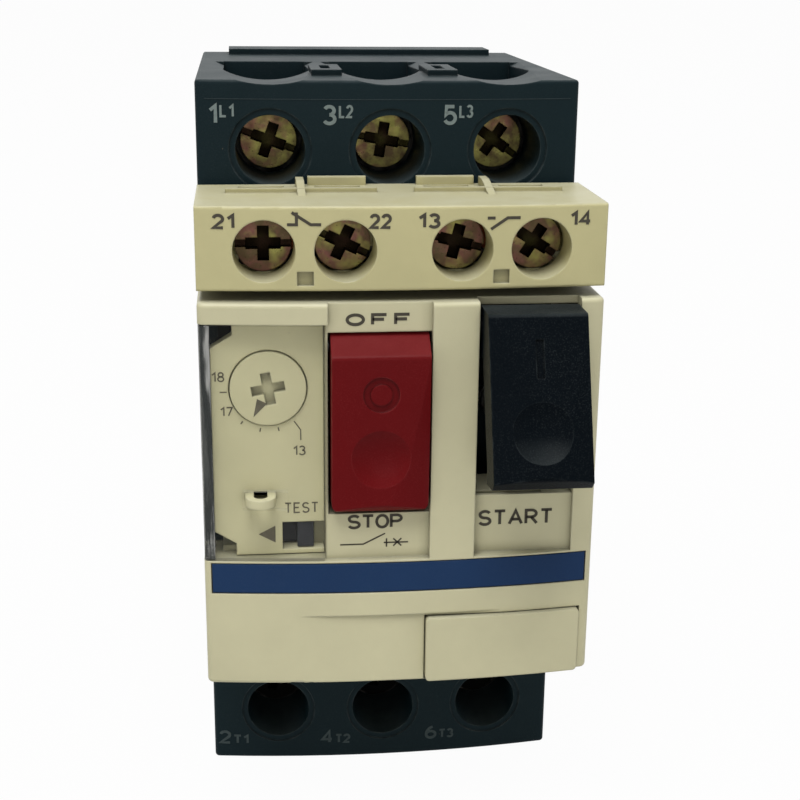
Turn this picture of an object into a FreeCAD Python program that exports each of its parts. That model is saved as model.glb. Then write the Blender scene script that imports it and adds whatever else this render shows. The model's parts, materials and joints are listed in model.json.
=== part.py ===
import FreeCAD, Part
import math
import os
import re
import Sketcher

# Motor protection switch for a 35 mm rail, with an auxiliary contact block on its front.
# Frame: origin at the middle of the rail seat, +X to the right, +Y into the panel, +Z up. Millimetres.

SIZES = {
    # Outer form. Setbacks are measured behind the nose plane, the front of the nose at its side edges.
    "body_width": 44.5, "body_height": 89.0, "body_depth": 64.5, "front_bow": 1.5,
    "upper_setback": 17.0, "lower_setback": 20.7, "split_setback": 37.0,
    "nose_depth": 19.0, "nose_height": 45.0, "housing_edge": 0.4, "housing_corner": 0.6,
    "rear_rib_width": 37.0, "rear_rib_height": 0.8, "rear_rib_depth": 6.0,
    # Walls
    "side_wall": 2.65, "phase_wall": 2.2, "end_wall": 2.5, "back_wall": 3.0, "front_wall": 2.0,
    # Clearances
    "seat_gap": 0.05, "running_clearance": 0.08, "slide_clearance": 0.15, "touch_gap": 0.3,
    # Rail channel and clip
    "rail_depth": 5.5, "rail_height": 35.0, "rail_play": 0.3, "flange_gap": 1.4, "hook_lap": 1.6,
    "clip_width": 11.0, "clip_thickness": 2.2, "clip_setback": 1.6, "clip_lap": 1.5, "clip_foot_gap": 2.8,
    "clip_travel": 2.5, "clip_boss_height": 9.5, "clip_boss_size": 2.0, "clip_spring_length": 9.0,
    "clip_spring_radius": 0.75, "clip_spring_wire": 0.2,
    # Power terminals
    "well_dia": 8.0, "well_depth": 10.0, "well_ring_dia": 9.5, "well_ring_depth": 0.2,
    "upper_screw_height": 36.6, "lower_screw_height": 37.3,
    "head_recess": 9.0, "load_head_drop": 3.0, "head_dia": 6.8, "head_height": 2.6, "shank_dia": 4.0, "shank_length": 16.5,
    "drive_slot": 0.8, "drive_depth": 0.7, "cross_width": 1.25, "cross_share": 0.62, "cross_depth": 1.5,
    "saddle_size": 9.0, "saddle_thickness": 1.6,
    "entry_setback": 27.0, "entry_width": 10.6, "entry_length": 18.5,
    "dish_radius": 15.0, "dish_front": 0.4, "dish_rear": 1.45, "dish_lift": 0.9,
    "barrier_slot_width": 1.2, "barrier_slot_length": 5.0, "barrier_slot_depth": 1.6,
    "barrier_post_width": 3.6, "barrier_post_length": 9.0, "barrier_post_height": 0.7,
    # Poles
    "strip_setback": 39.0, "strip_thickness": 1.5, "strip_width": 9.0, "strip_neck": 6.0, "strip_pad": 10.3,
    "contact_height": 14.0, "contact_span": 12.0, "contact_gap": 2.45,
    "tip_radius": 1.8, "tip_thickness": 0.8, "bridge_width": 4.4, "bridge_thickness": 1.5,
    "contact_spring_length": 4.4, "contact_spring_radius": 1.5, "contact_spring_wire": 0.28,
    "carrier_gap": 0.5, "carrier_depth": 4.0, "carrier_height": 8.0, "finger_wall": 1.2,
    "chute_length": 9.0, "plate_count": 5.0, "plate_pitch": 1.6, "plate_thickness": 0.8, "chute_cheek": 0.5,
    "coil_setback": 48.8, "coil_height": -1.0, "coil_length": 16.0, "coil_radius": 4.9, "bobbin_wall": 0.65,
    "bobbin_flange": 0.6, "striker_radius": 2.65, "striker_length": 11.0, "striker_pin": 0.8,
    "striker_reach": 15.0, "yoke_thickness": 1.2,
    "bimetal_offset": 2.5, "bimetal_thickness": 0.8, "bimetal_width": 6.0, "bimetal_length": 14.1,
    "heater_wall": 0.5, "heater_length": 8.0, "load_foot_depth": 9.5,
    "trip_slide_height": 2.0, "trip_slide_depth": 3.6, "trip_travel": 1.5, "trip_notch_depth": 1.2,
    # Nose
    "nose_wall": 1.8, "nose_front_wall": 3.0, "frame_depth": 7.2, "nose_edge": 0.45, "nose_corner": 0.8,
    "rim_height": 0.9, "apron_height": 15.3, "setting_width": 13.7, "bar_height": 2.3, "frame_wall": 0.25,
    "bay_width": 11.4, "right_strip": 2.65, "button_gap": 0.3,
    "stop_field": 5.4, "off_field": 2.4, "start_field": 6.9, "stop_field_recess": 1.0, "start_field_recess": 0.6,
    "start_notch_depth": 1.5, "floor_slot_setback": 0.6, "floor_slot_width": 0.9, "floor_slot_length": 8.0,
    "floor_slot_depth": 2.5,
    "label_gap": 0.35, "label_height": 3.5, "label_margin": 0.85, "insert_back": 0.6, "insert_gap": 0.12,
    "lower_panel": 8.5, "lower_step": 0.4,
    "marker_width": 18.1, "marker_height": 7.9, "marker_margin": 1.35, "marker_foot": 0.15, "marker_proud": 0.55,
    "marker_corner": 0.5,
    # Setting recess
    "panel_setback": 1.2, "panel_thickness": 1.6, "panel_left": 1.25, "panel_ledge": 0.7, "panel_ledge_right": 1.25,
    "corner_notch_width": 2.4, "corner_notch_drop": 1.4, "corner_slant": 1.5,
    "dial_dia": 8.4, "dial_left": 7.48, "dial_height": 12.6, "dial_flange": 0.35, "dial_flange_thickness": 1.0,
    "dial_shaft_dia": 3.2, "dial_length": 8.0, "dial_cam_dia": 5.6, "dial_cam_throw": 0.9, "dial_slot": 1.1, "dial_slot_depth": 0.8,
    "dial_slot_length": 3.7, "dial_slot_turn": -10.0,
    "test_left": 8.85, "test_width": 3.7, "test_low": 0.65, "test_window_height": 3.3, "test_knob": 2.0,
    "test_reach": 9.0, "link_width": 1.0,
    "lug_left": 4.75, "lug_width": 3.4, "lug_height": -0.5, "lug_thickness": 1.0, "lug_reach": 2.0, "lug_hole": 1.5,
    "cover_thickness": 1.0, "cover_wall_depth": 5.0, "cover_gap": 0.15, "cover_hinge_depth": 4.4,
    "cover_pin_radius": 0.5, "cover_pin_length": 0.9, "cover_slot_room": 1.3, "cover_corner": 0.5,
    "hinge_slot_width": 2.1, "hinge_slot_depth": 6.2, "liner_thickness": 0.4,
    # Rockers
    "button_crown": 0.7, "button_corner": 0.9, "pin_radius": 1.0, "hub_radius": 2.1, "pin_seat": 1.0,
    "start_pivot_depth": 3.0, "start_pivot_drop": 2.6, "start_top_rise": 2.9, "start_top_reach": 4.6,
    "start_tip_reach": 11.6, "start_crest_gap": 0.5, "start_shell": 5.0, "start_web": 6.0,
    "start_tip_drop": 13.4, "start_lip": 1.5, "start_foot_drop": 16.4, "start_back": 3.4,
    "nub_drop": 7.0, "nub_depth": 3.8, "nub_radius": 1.2, "pusher_size": 3.0,
    "stop_pivot_depth": 4.0, "stop_pivot_drop": 2.3, "stop_reach": 2.8, "stop_foot_gap": 0.8, "stop_back": 5.2,
    "stop_lip": 0.8, "stop_arm": 1.8,
    "sign_depth": 0.25, "ring_outer": 2.0, "ring_inner": 1.2, "ring_rise": 13.7, "bar_width": 0.85, "bar_length": 4.2,
    "bar_drop": 2.7, "dimple_radius": 7.0, "dimple_sink": 0.85, "stop_dimple_rise": 6.3, "start_dimple_rise": 4.6,
    "button_edge": 0.6, "button_spring_radius": 2.1, "button_spring_wire": 0.3, "button_spring_height": 4.0,
    # Latch
    "cheek_gap": 2.0, "cheek_thickness": 1.0, "cheek_depth": 8.6, "cheek_height": 14.0, "latch_setback": 6.0,
    "latch_height": 4.5, "latch_width": 1.4, "latch_hub": 2.0, "latch_arm": 6.0, "latch_arm_width": 2.2,
    "latch_spring_radius": 0.6, "latch_spring_wire": 0.15, "latch_spring_rise": 4.4,
    # Rivets
    "rivet_radius": 0.75, "rivet_head_radius": 1.1, "rivet_head_height": 0.8, "rivet_height": 30.0, "rivet_bite": 6.0,
    # Auxiliary block
    "aux_gap": 1.16, "aux_height": 9.15, "aux_setback": 0.7, "aux_bow": 1.0, "aux_wall": 1.2, "aux_back_wall": 1.0,
    "aux_block": 4.3, "aux_edge": 0.3, "aux_well_dia": 6.7, "aux_screw_rise": 4.35,
    "aux_outer_x": 14.98, "aux_inner_x": 6.29, "aux_head_dia": 6.2, "aux_head_recess": 4.2, "aux_head_height": 1.9,
    "aux_shank_dia": 3.0, "aux_saddle_size": 5.4, "aux_saddle_thickness": 0.8,
    "aux_plate_thickness": 0.8, "aux_break_setback": 9.4, "aux_make_setback": 13.0, "aux_plate_rise": 3.0,
    "aux_plate_height": 3.4, "aux_bridge_height": 3.6, "aux_bridge_overlap": 1.1,
    "aux_bar_depth": 2.1, "aux_bar_height": 1.4, "aux_bar_setback": 9.3, "aux_groove": 0.4,
    "aux_stub_width": 1.6, "aux_stub_reach": 0.4, "prong_depth": 2.0, "prong_height": 1.5,
    "aux_entry_width": 5.2, "aux_entry_length": 4.3, "aux_entry_setback": 9.9,
    "aux_ridge_height": 0.5, "aux_ridge_width": 0.6, "aux_ridge_inner": 2.1, "aux_ridge_outer": 19.0,
    "aux_tab_width": 6.7, "aux_tab_height": 1.0, "aux_tab_thickness": 0.8, "aux_gusset": 0.9, "aux_gusset_length": 5.0,
    "aux_notch_width": 1.75, "aux_notch_height": 1.5, "aux_notch_rise": 0.65, "aux_notch_depth": 0.8,
    "aux_notch_x": 10.6, "aux_lug_x": 17.0, "aux_lug_width": 3.0, "aux_lug_height": 2.4, "aux_lug_length": 3.0,
    "aux_spring_radius": 0.55, "aux_spring_wire": 0.12,
}

doc = FreeCAD.newDocument("motor_protection_switch")
sheet = doc.addObject("Spreadsheet::Sheet", "Sizes")
for row, (size_name, size) in enumerate(SIZES.items(), start=1):
    sheet.set(f"A{row}", size_name)
    sheet.set(f"B{row}", str(size))
    sheet.setAlias(f"B{row}", size_name)
doc.recompute()

Vector = FreeCAD.Vector
Rotation = FreeCAD.Rotation


# Expressions on the sheet

def cell(text):
    """Write each size named in an expression as a reference to its cell."""
    return re.sub(r"[a-z][a-z_]+", lambda m: f"Sizes.{m[0]}" if m[0] in SIZES else m[0], str(text))


def value(text):
    """The number that an expression on the sheet gives now."""
    return float(sheet.evalExpression(cell(text)))


def bind(item, prop, text):
    """Tie a property of an object to an expression on the sheet."""
    item.setExpression(prop, cell(text))


def behind(text):
    """The Y of a plane that lies so far behind the nose plane."""
    return f"(rail_depth - body_depth + ({text}))"


def minus(text):
    """The expression with its sign turned."""
    return f"(-({text}))"


def about(middle, width):
    """The two limits of a width laid evenly about a middle."""
    return f"({middle}) - ({width})/2", f"({middle}) + ({width})/2"


def run(start, length):
    """The two limits of a length that begins at a start."""
    return start, f"({start}) + ({length})"


def bow_radius(bow):
    """Radius of the arc that rises by a bow over the body's width."""
    return f"((body_width^2/4 + {bow}^2) / (2*{bow}))"


def bow_y(plane, bow, x):
    """Y at x of a front that bows out from a plane by so much at its middle."""
    radius = bow_radius(bow)
    return f"({plane} - {bow} + {radius} - sqrt({radius}^2 - ({x})^2))"


# Driving planes and columns, worked out from the sheet

HALF = "body_width/2"
TOP = "body_height/2"
NOSE_TOP = "nose_height/2"
FAR_FRONT = behind("-20")
UPPER_FACE = behind("upper_setback")
LOWER_FACE = behind("lower_setback")
SPLIT = behind("split_setback")
MID_FACE = behind("nose_depth")
MID_BACK = behind("nose_depth + front_wall")
WELL_END = behind("upper_setback + well_depth")
LOAD_WELL_END = behind("upper_setback + well_depth + load_head_drop")
ENTRY_REAR = behind("entry_setback + entry_length")
CHAMBER = "((body_width - 2*side_wall - 2*phase_wall)/3)"
PITCH = f"({CHAMBER} + phase_wall)"
POLES = (minus(PITCH), "0", PITCH)
CHAMBERS_OUT = f"({PITCH} + {CHAMBER}/2)"
CAVITY_TOP = f"({TOP} - end_wall)"
LEDGE = f"(-{NOSE_TOP} + apron_height)"
RIM = f"({NOSE_TOP} - rim_height)"
SETTING_TOP = f"({NOSE_TOP} - bar_height)"
SETTING_RIGHT = f"(-{HALF} + setting_width)"
STOP_LEFT = f"({SETTING_RIGHT} + frame_wall)"
STOP_RIGHT = f"({STOP_LEFT} + bay_width)"
START_RIGHT = f"({HALF} - right_strip)"
START_LEFT = f"({START_RIGHT} - bay_width)"
STOP_MIDDLE = f"({STOP_LEFT} + bay_width/2)"
START_MIDDLE = f"({START_RIGHT} - bay_width/2)"
STOP_FLOOR = f"({LEDGE} + stop_field)"
STOP_CEILING = f"({RIM} - off_field)"
START_FLOOR = f"({LEDGE} + start_field)"
START_PIVOT_Z = f"({RIM} - start_pivot_drop)"
STOP_PIVOT_Z = f"({STOP_CEILING} - stop_pivot_drop)"
START_PIVOT_Y = behind("start_pivot_depth")
STOP_PIVOT_Y = behind("stop_pivot_depth")
STRIP_FRONT = behind("strip_setback")
STRIP_BACK = f"({STRIP_FRONT} + strip_thickness)"
FIXED_TIP_FRONT = f"({STRIP_FRONT} - tip_thickness)"
MOVING_TIP_BACK = f"({FIXED_TIP_FRONT} - contact_gap)"
BRIDGE_BACK = f"({MOVING_TIP_BACK} - tip_thickness)"
BRIDGE_FRONT = f"({BRIDGE_BACK} - bridge_thickness)"
LOWER_CONTACT = "(contact_height - contact_span)"
CONTACT_MIDDLE = "(contact_height - contact_span/2)"
CARRIER_FRONT = f"({MID_BACK} + carrier_gap)"
CARRIER_BACK = f"({CARRIER_FRONT} + carrier_depth)"
NUB_Z = f"({START_PIVOT_Z} - nub_drop)"
PUSHER_END = behind("nub_depth + nub_radius + touch_gap")
COIL_Y = behind("coil_setback")
COIL_TOP = "(coil_height + coil_length/2)"
COIL_FOOT = "(coil_height - coil_length/2)"
LOAD_FOOT_TOP = "(-lower_screw_height - saddle_size/2 + strip_pad)"
BIMETAL_TOP = f"({LOAD_FOOT_TOP} + bimetal_length)"
TRIP_LOW = f"({BIMETAL_TOP} - trip_notch_depth + touch_gap)"
TRIP_HIGH = f"({TRIP_LOW} + trip_slide_height)"
TRIP_BACK = f"({COIL_Y} - striker_pin - touch_gap)"
TRIP_FRONT = f"({TRIP_BACK} - trip_slide_depth)"
AUX_LOW = f"({NOSE_TOP} + aux_gap)"
AUX_HIGH = f"({AUX_LOW} + aux_height)"
AUX_FRONT = behind("aux_setback")
AUX_BACK = f"({UPPER_FACE} - front_bow - seat_gap)"
AUX_CAVITY_FRONT = f"({AUX_FRONT} + aux_block)"
AUX_CAVITY_BACK = f"({AUX_BACK} - aux_back_wall)"
AUX_FLOOR = f"({AUX_LOW} + aux_wall)"
AUX_SCREW_Z = f"({AUX_LOW} + aux_screw_rise)"
AUX_SCREW_X = ("(-aux_outer_x)", "(-aux_inner_x)", "aux_inner_x", "aux_outer_x")
AUX_SCREW_TURNS = (0, 25, 14, 32)
POWER_SCREW_TURNS = (20, 10, 35)
PRONG_X = f"({PITCH}/2)"
PRONG_Z = (f"({AUX_FLOOR} + seat_gap)", f"({AUX_FLOOR} + seat_gap + prong_height)")
TEST_LEFT = f"(-{HALF} + test_left)"
TEST_RIGHT = f"({TEST_LEFT} + test_width)"
TEST_LOW = f"({LEDGE} + test_low)"
PANEL_FRONT = behind("panel_setback")
PANEL_BACK = behind("panel_setback + panel_thickness")
DIAL_X = f"(-{HALF} + dial_left)"
LUG_X = f"(-{HALF} + lug_left + lug_width/2)"
HINGE_X = f"(-{HALF} + cover_gap + cover_pin_radius + 0.1)"
HINGE_Y = behind("cover_hinge_depth")
CLIP_Y = (" clip_setback", "clip_setback + clip_thickness")
CLIP_TUNNEL_Y = ("clip_setback - slide_clearance", "clip_setback + clip_thickness + slide_clearance")
CLIP_LOW = f"(-{TOP} + clip_foot_gap)"
CLIP_BOSS_LOW = f"(-{TOP} + clip_boss_height)"
CLIP_BOSS_HIGH = f"({CLIP_BOSS_LOW} + clip_boss_size)"
LATCH_X = f"(({STOP_RIGHT} + {START_LEFT})/2)"
LATCH_Y = f"({MID_FACE} - latch_setback)"


# Solids from primitives

AXIS_TURN = {"x": Rotation(Vector(0, 1, 0), 90), "y": Rotation(Vector(1, 0, 0), -90), "z": Rotation()}


def block(label, x, y, z):
    """A rectangular block between two limits on each axis."""
    item = doc.addObject("Part::Box", label)
    for prop, axis, (low, high) in zip(("Length", "Width", "Height"), "xyz", (x, y, z)):
        bind(item, prop, f"({high}) - ({low})")
        bind(item, f"Placement.Base.{axis}", low)
    return item


def rod(label, axis, radius, span, centre):
    """A round rod along an axis between two limits, centred on the other two axes."""
    item = doc.addObject("Part::Cylinder", label)
    item.Placement = FreeCAD.Placement(Vector(), AXIS_TURN[axis])
    bind(item, "Radius", radius)
    bind(item, "Height", f"({span[1]}) - ({span[0]})")
    places = dict(zip([a for a in "xyz" if a != axis], centre))
    places[axis] = span[0]
    for each, text in places.items():
        bind(item, f"Placement.Base.{each}", text)
    return item


def ball(label, radius, x, y, z):
    """A ball about a point."""
    item = doc.addObject("Part::Sphere", label)
    bind(item, "Radius", radius)
    for axis, text in zip("xyz", (x, y, z)):
        bind(item, f"Placement.Base.{axis}", text)
    return item


def fuse(label, items):
    """Several solids made into one."""
    item = doc.addObject("Part::MultiFuse", label)
    item.Shapes = items
    item.Refine = True
    return item


def cut(label, base, tools):
    """A solid with one or more tools taken out of it."""
    item = doc.addObject("Part::Cut", label)
    item.Base = base
    item.Tool = tools[0] if len(tools) == 1 else fuse(label + "_tools", tools)
    item.Refine = True
    return item


def group(label, items):
    """Separate solids kept together as one sub-part."""
    item = doc.addObject("Part::Compound", label)
    item.Links = items
    return item


def coil_spring(label, axis, radius, wire, turns, span, centre):
    """A round-wire spring wound along an axis between two limits."""
    low = f"({span[0]}) + {wire}"
    length = f"(({span[1]}) - ({span[0]}) - 2*{wire})"
    helix = doc.addObject("Part::Helix", label + "_path")
    section = doc.addObject("Part::Circle", label + "_wire")
    helix.Placement = FreeCAD.Placement(Vector(), AXIS_TURN[axis])
    across = AXIS_TURN[axis].multVec(Vector(1, 0, 0))
    along = AXIS_TURN[axis].multVec(Vector(0, 1, 0))
    section.Placement = FreeCAD.Placement(Vector(), Rotation(Vector(0, 0, 1), along))
    bind(helix, "Radius", radius)
    bind(helix, "Height", length)
    bind(helix, "Pitch", f"{length}/{turns}")
    bind(section, "Radius", wire)
    places = dict(zip([a for a in "xyz" if a != axis], centre))
    places[axis] = low
    for each, text in places.items():
        bind(helix, f"Placement.Base.{each}", text)
        bind(section, f"Placement.Base.{each}", f"({text}) + ({radius})*{round(getattr(across, each))}")
    spring = doc.addObject("Part::Sweep", label)
    spring.Sections = [section]
    spring.Spine = (helix, ["Edge1"])
    spring.Solid = True
    spring.Frenet = True
    return spring


# Bodies from sketches

PLANES = {"XY": ("XY_Plane", 1), "XZ": ("XZ_Plane", -1), "YZ": ("YZ_Plane", 1)}


class Arc:
    """Marks the side of an outline that starts here as an arc, bulging outwards."""

    def __init__(self, radius):
        self.radius = radius


class Round:
    """A full circle as an outline."""

    def __init__(self, across, up, radius):
        self.across = across
        self.up = up
        self.radius = radius


class Piece:
    """A body built up from outlines that are padded and pocketed between two planes."""

    def __init__(self, label):
        self.body = doc.addObject("PartDesign::Body", label)

    def sketch(self, plane, offset, outline):
        """A sketch on one of the body's own planes, with every point tied to the sheet."""
        role, sign = PLANES[plane]
        sketch = self.body.newObject("Sketcher::SketchObject", "outline")
        support = [f for f in self.body.Origin.OriginFeatures if f.Role == role][0]
        sketch.AttachmentSupport = [(support, "")]
        sketch.MapMode = "FlatFace"
        bind(sketch, "AttachmentOffset.Base.z", f"{sign}*({offset})")
        if isinstance(outline, Round):
            self.draw_round(sketch, outline)
        else:
            self.draw_outline(sketch, outline)
        return sketch

    def tie(self, sketch, kind, places, text):
        """A constraint whose datum is an expression on the sheet."""
        number = sketch.addConstraint(Sketcher.Constraint(kind, *places, value(text)))
        bind(sketch, f"Constraints[{number}]", text)

    def draw_round(self, sketch, outline):
        """A circle with its centre and radius tied."""
        centre = Vector(value(outline.across), value(outline.up), 0)
        sketch.addGeometry(Part.Circle(centre, Vector(0, 0, 1), value(outline.radius)))
        self.tie(sketch, "DistanceX", (-1, 1, 0, 3), outline.across)
        self.tie(sketch, "DistanceY", (-1, 1, 0, 3), outline.up)
        self.tie(sketch, "Radius", (0,), outline.radius)

    def draw_outline(self, sketch, outline):
        """A closed chain of straight sides and arcs, run anticlockwise, with its corners tied."""
        corners = [(p, next((a for a in outline[i + 1:i + 2] if isinstance(a, Arc)), None))
                   for i, p in enumerate(outline) if not isinstance(p, Arc)]
        points = [Vector(value(u), value(v), 0) for (u, v), _ in corners]
        count = len(corners)
        for i, (_, arc) in enumerate(corners):
            start, end = points[i], points[(i + 1) % count]
            if arc is None:
                sketch.addGeometry(Part.LineSegment(start, end))
                continue
            radius = value(arc.radius)
            chord = end - start
            inward = Vector(-chord.y, chord.x, 0).normalize()
            centre = (start + end)*0.5 + inward*math.sqrt(radius**2 - chord.Length**2/4)
            circle = Part.Circle(centre, Vector(0, 0, 1), radius)
            angles = [math.atan2((p - centre).y, (p - centre).x) for p in (start, end)]
            sketch.addGeometry(Part.ArcOfCircle(circle, *angles))
        for i, ((across, up), arc) in enumerate(corners):
            sketch.addConstraint(Sketcher.Constraint("Coincident", i, 2, (i + 1) % count, 1))
            self.tie(sketch, "DistanceX", (-1, 1, i, 1), across)
            self.tie(sketch, "DistanceY", (-1, 1, i, 1), up)
            if arc is not None:
                self.tie(sketch, "Radius", (i,), arc.radius)

    def pad(self, plane, span, outline):
        """Add the outline's prism between two limits along the plane's normal axis."""
        start = span[1] if PLANES[plane][1] < 0 else span[0]
        feature = self.body.newObject("PartDesign::Pad", "pad")
        feature.Profile = self.sketch(plane, start, outline)
        bind(feature, "Length", f"({span[1]}) - ({span[0]})")
        doc.recompute()
        return self

    def pocket(self, plane, span, outline):
        """Take the outline's prism out between two limits, and see that it took something."""
        before = self.body.Shape.Volume
        start = span[0] if PLANES[plane][1] < 0 else span[1]
        feature = self.body.newObject("PartDesign::Pocket", "pocket")
        feature.Profile = self.sketch(plane, start, outline)
        bind(feature, "Length", f"({span[1]}) - ({span[0]})")
        doc.recompute()
        if not self.body.Shape.Volume < before:
            raise ValueError(f"{self.body.Label}: a pocket cut nothing")
        return self

    def round(self, radius, wanted):
        """Round the edges that a test picks out."""
        base = self.body.Tip
        names = [f"Edge{i}" for i, edge in enumerate(base.Shape.Edges, start=1) if wanted(edge)]
        if not names:
            raise ValueError(f"{self.body.Label}: no edge to round")
        feature = self.body.newObject("PartDesign::Fillet", "fillet")
        feature.Base = (base, names)
        bind(feature, "Radius", radius)
        doc.recompute()
        return self


def box_outline(across, up):
    """The four corners of a rectangle, anticlockwise."""
    return [(across[0], up[0]), (across[1], up[0]), (across[1], up[1]), (across[0], up[1])]


def bowed_outline(x, plane, bow, back, inset="0"):
    """Plan of a piece with a bowed front and a straight back."""
    radius = f"({bow_radius(bow)} - ({inset}))"
    front = [f"({bow_y(plane, bow, each)} + ({inset}))" for each in x]
    return [(x[0], front[0]), Arc(radius), (x[1], front[1]), (x[1], back), (x[0], back)]


def runs_along(axis, **near):
    """A test for edges along an axis whose middle has the given coordinates."""
    spots = {name: value(text) for name, text in near.items()}

    def wanted(edge):
        box = edge.BoundBox
        lengths = {"x": box.XLength, "y": box.YLength, "z": box.ZLength}
        if lengths[axis] < 0.5 or any(lengths[a] > 0.5*lengths[axis] for a in "xyz" if a != axis):
            return False
        middle = edge.BoundBox.Center
        return all(abs(getattr(middle, name) - spot) < 0.02 for name, spot in spots.items())

    return wanted


def either(*tests):
    """A test that passes where any of several does."""
    return lambda edge: any(test(edge) for test in tests)


nodes = []


def keep(item):
    """Name an object as a finished sub-part of the switch."""
    nodes.append(item.body if isinstance(item, Piece) else item)


# Dark housing

def dish(label, pole, up):
    """The tilted cylinder that scoops a funnel into an end face in front of a wire entry."""
    item = doc.addObject("Part::Cylinder", label)
    length = f"(entry_setback + entry_length - upper_setback + 2*front_bow)"
    front = "dish_front" if up > 0 else "(-dish_lift)"
    fall = math.degrees(math.atan2(value(f"dish_rear - {front}"), value(length)))
    item.Placement = FreeCAD.Placement(Vector(), Rotation(Vector(1, 0, 0), -90 - up*fall))
    bind(item, "Radius", "dish_radius")
    bind(item, "Height", length)
    bind(item, "Placement.Base.x", pole)
    bind(item, "Placement.Base.y", f"{UPPER_FACE} - 2*front_bow")
    bind(item, "Placement.Base.z", f"{up}*({TOP} + dish_radius - {front})")
    return item


def end_dishes(label):
    """One funnel over each pole at both ends of the housing."""
    return [dish(f"{label}_dish", pole, up) for pole in POLES for up in (1, -1)]


def wire_entries(piece, span_y):
    """Openings through both end walls into the terminal chambers."""
    for pole in POLES:
        for z in ((CAVITY_TOP, TOP), (minus(TOP), minus(CAVITY_TOP))):
            piece.pocket("XY", z, box_outline(about(pole, "entry_width"), span_y))


def rear_base():
    """Rear moulding: rail channel with its fixed hook, clip tunnel, pole chambers and wire entries."""
    piece = Piece("rear_base_body")
    channel_low = "(-rail_height/2 - rail_play)"
    channel_high = "(rail_height/2 + rail_play)"
    hook = "(rail_height/2 - hook_lap)"
    piece.pad("YZ", (minus(HALF), HALF), [
        (SPLIT, minus(TOP)), ("rail_depth", minus(TOP)), ("rail_depth", channel_low), ("0", channel_low),
        ("0", channel_high), ("flange_gap", channel_high), ("flange_gap", hook), ("rail_depth", hook),
        ("rail_depth", TOP), (SPLIT, TOP)])
    piece.round("housing_edge", either(
        *[runs_along("y", x=side, z=end) for side in (HALF, minus(HALF)) for end in (TOP, minus(TOP))]))
    piece.pad("XY", run(TOP, "rear_rib_height"), box_outline(
        about("0", "rear_rib_width"), ("rail_depth - rear_rib_depth", "rail_depth")))
    for pole in POLES:
        piece.pocket("XZ", (SPLIT, "-back_wall"),
                     box_outline(about(pole, CHAMBER), (minus(CAVITY_TOP), CAVITY_TOP)))
    wire_entries(piece, (SPLIT, ENTRY_REAR))
    piece.pocket("YZ", (minus(CHAMBERS_OUT), CHAMBERS_OUT), box_outline(
        (f"{TRIP_FRONT} - touch_gap", f"{TRIP_BACK} + touch_gap"),
        (f"{TRIP_LOW} - touch_gap", f"{TRIP_HIGH} + touch_gap")))
    tunnel_x = about("0", "clip_width + 2*slide_clearance")
    piece.pocket("XY", (minus(TOP), channel_low), box_outline(tunnel_x, CLIP_TUNNEL_Y))
    piece.pad("XZ", CLIP_TUNNEL_Y, box_outline(about("0", "clip_boss_size"), (CLIP_BOSS_LOW, CLIP_BOSS_HIGH)))
    for x, z in rivet_places():
        piece.pocket("XZ", (SPLIT, "rail_depth"), Round(x, z, "rivet_radius + running_clearance"))
        piece.pocket("XZ", ("rail_depth - rivet_head_height - seat_gap", "rail_depth"),
                     Round(x, z, "rivet_head_radius + running_clearance"))
    keep(cut("rear_base", piece.body, end_dishes("rear_base")))


def rivet_places():
    """Where the four rivets run, in the middle of the side walls."""
    x = f"({HALF} - side_wall/2)"
    return [(side, end) for side in (x, minus(x)) for end in ("rivet_height", "(-rivet_height)")]


def well_rings(face, height):
    """Shallow rings round the screw wells of one terminal front, as deep everywhere as its bow."""
    across = (minus(HALF), HALF)
    z = about(height, "well_ring_dia + 2")
    outer = Piece("ring_outer").pad("XY", z, bowed_outline(across, face, "front_bow", SPLIT, "-1"))
    inner = Piece("ring_inner").pad("XY", z, bowed_outline(across, face, "front_bow", SPLIT, "well_ring_depth"))
    discs = [rod("ring_disc", "y", "well_ring_dia/2", (FAR_FRONT, WELL_END), (pole, height)) for pole in POLES]
    rings = doc.addObject("Part::MultiCommon", "well_rings")
    rings.Shapes = [cut("ring_skin", outer.body, [inner.body]), fuse("ring_discs", discs)]
    return rings


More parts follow.
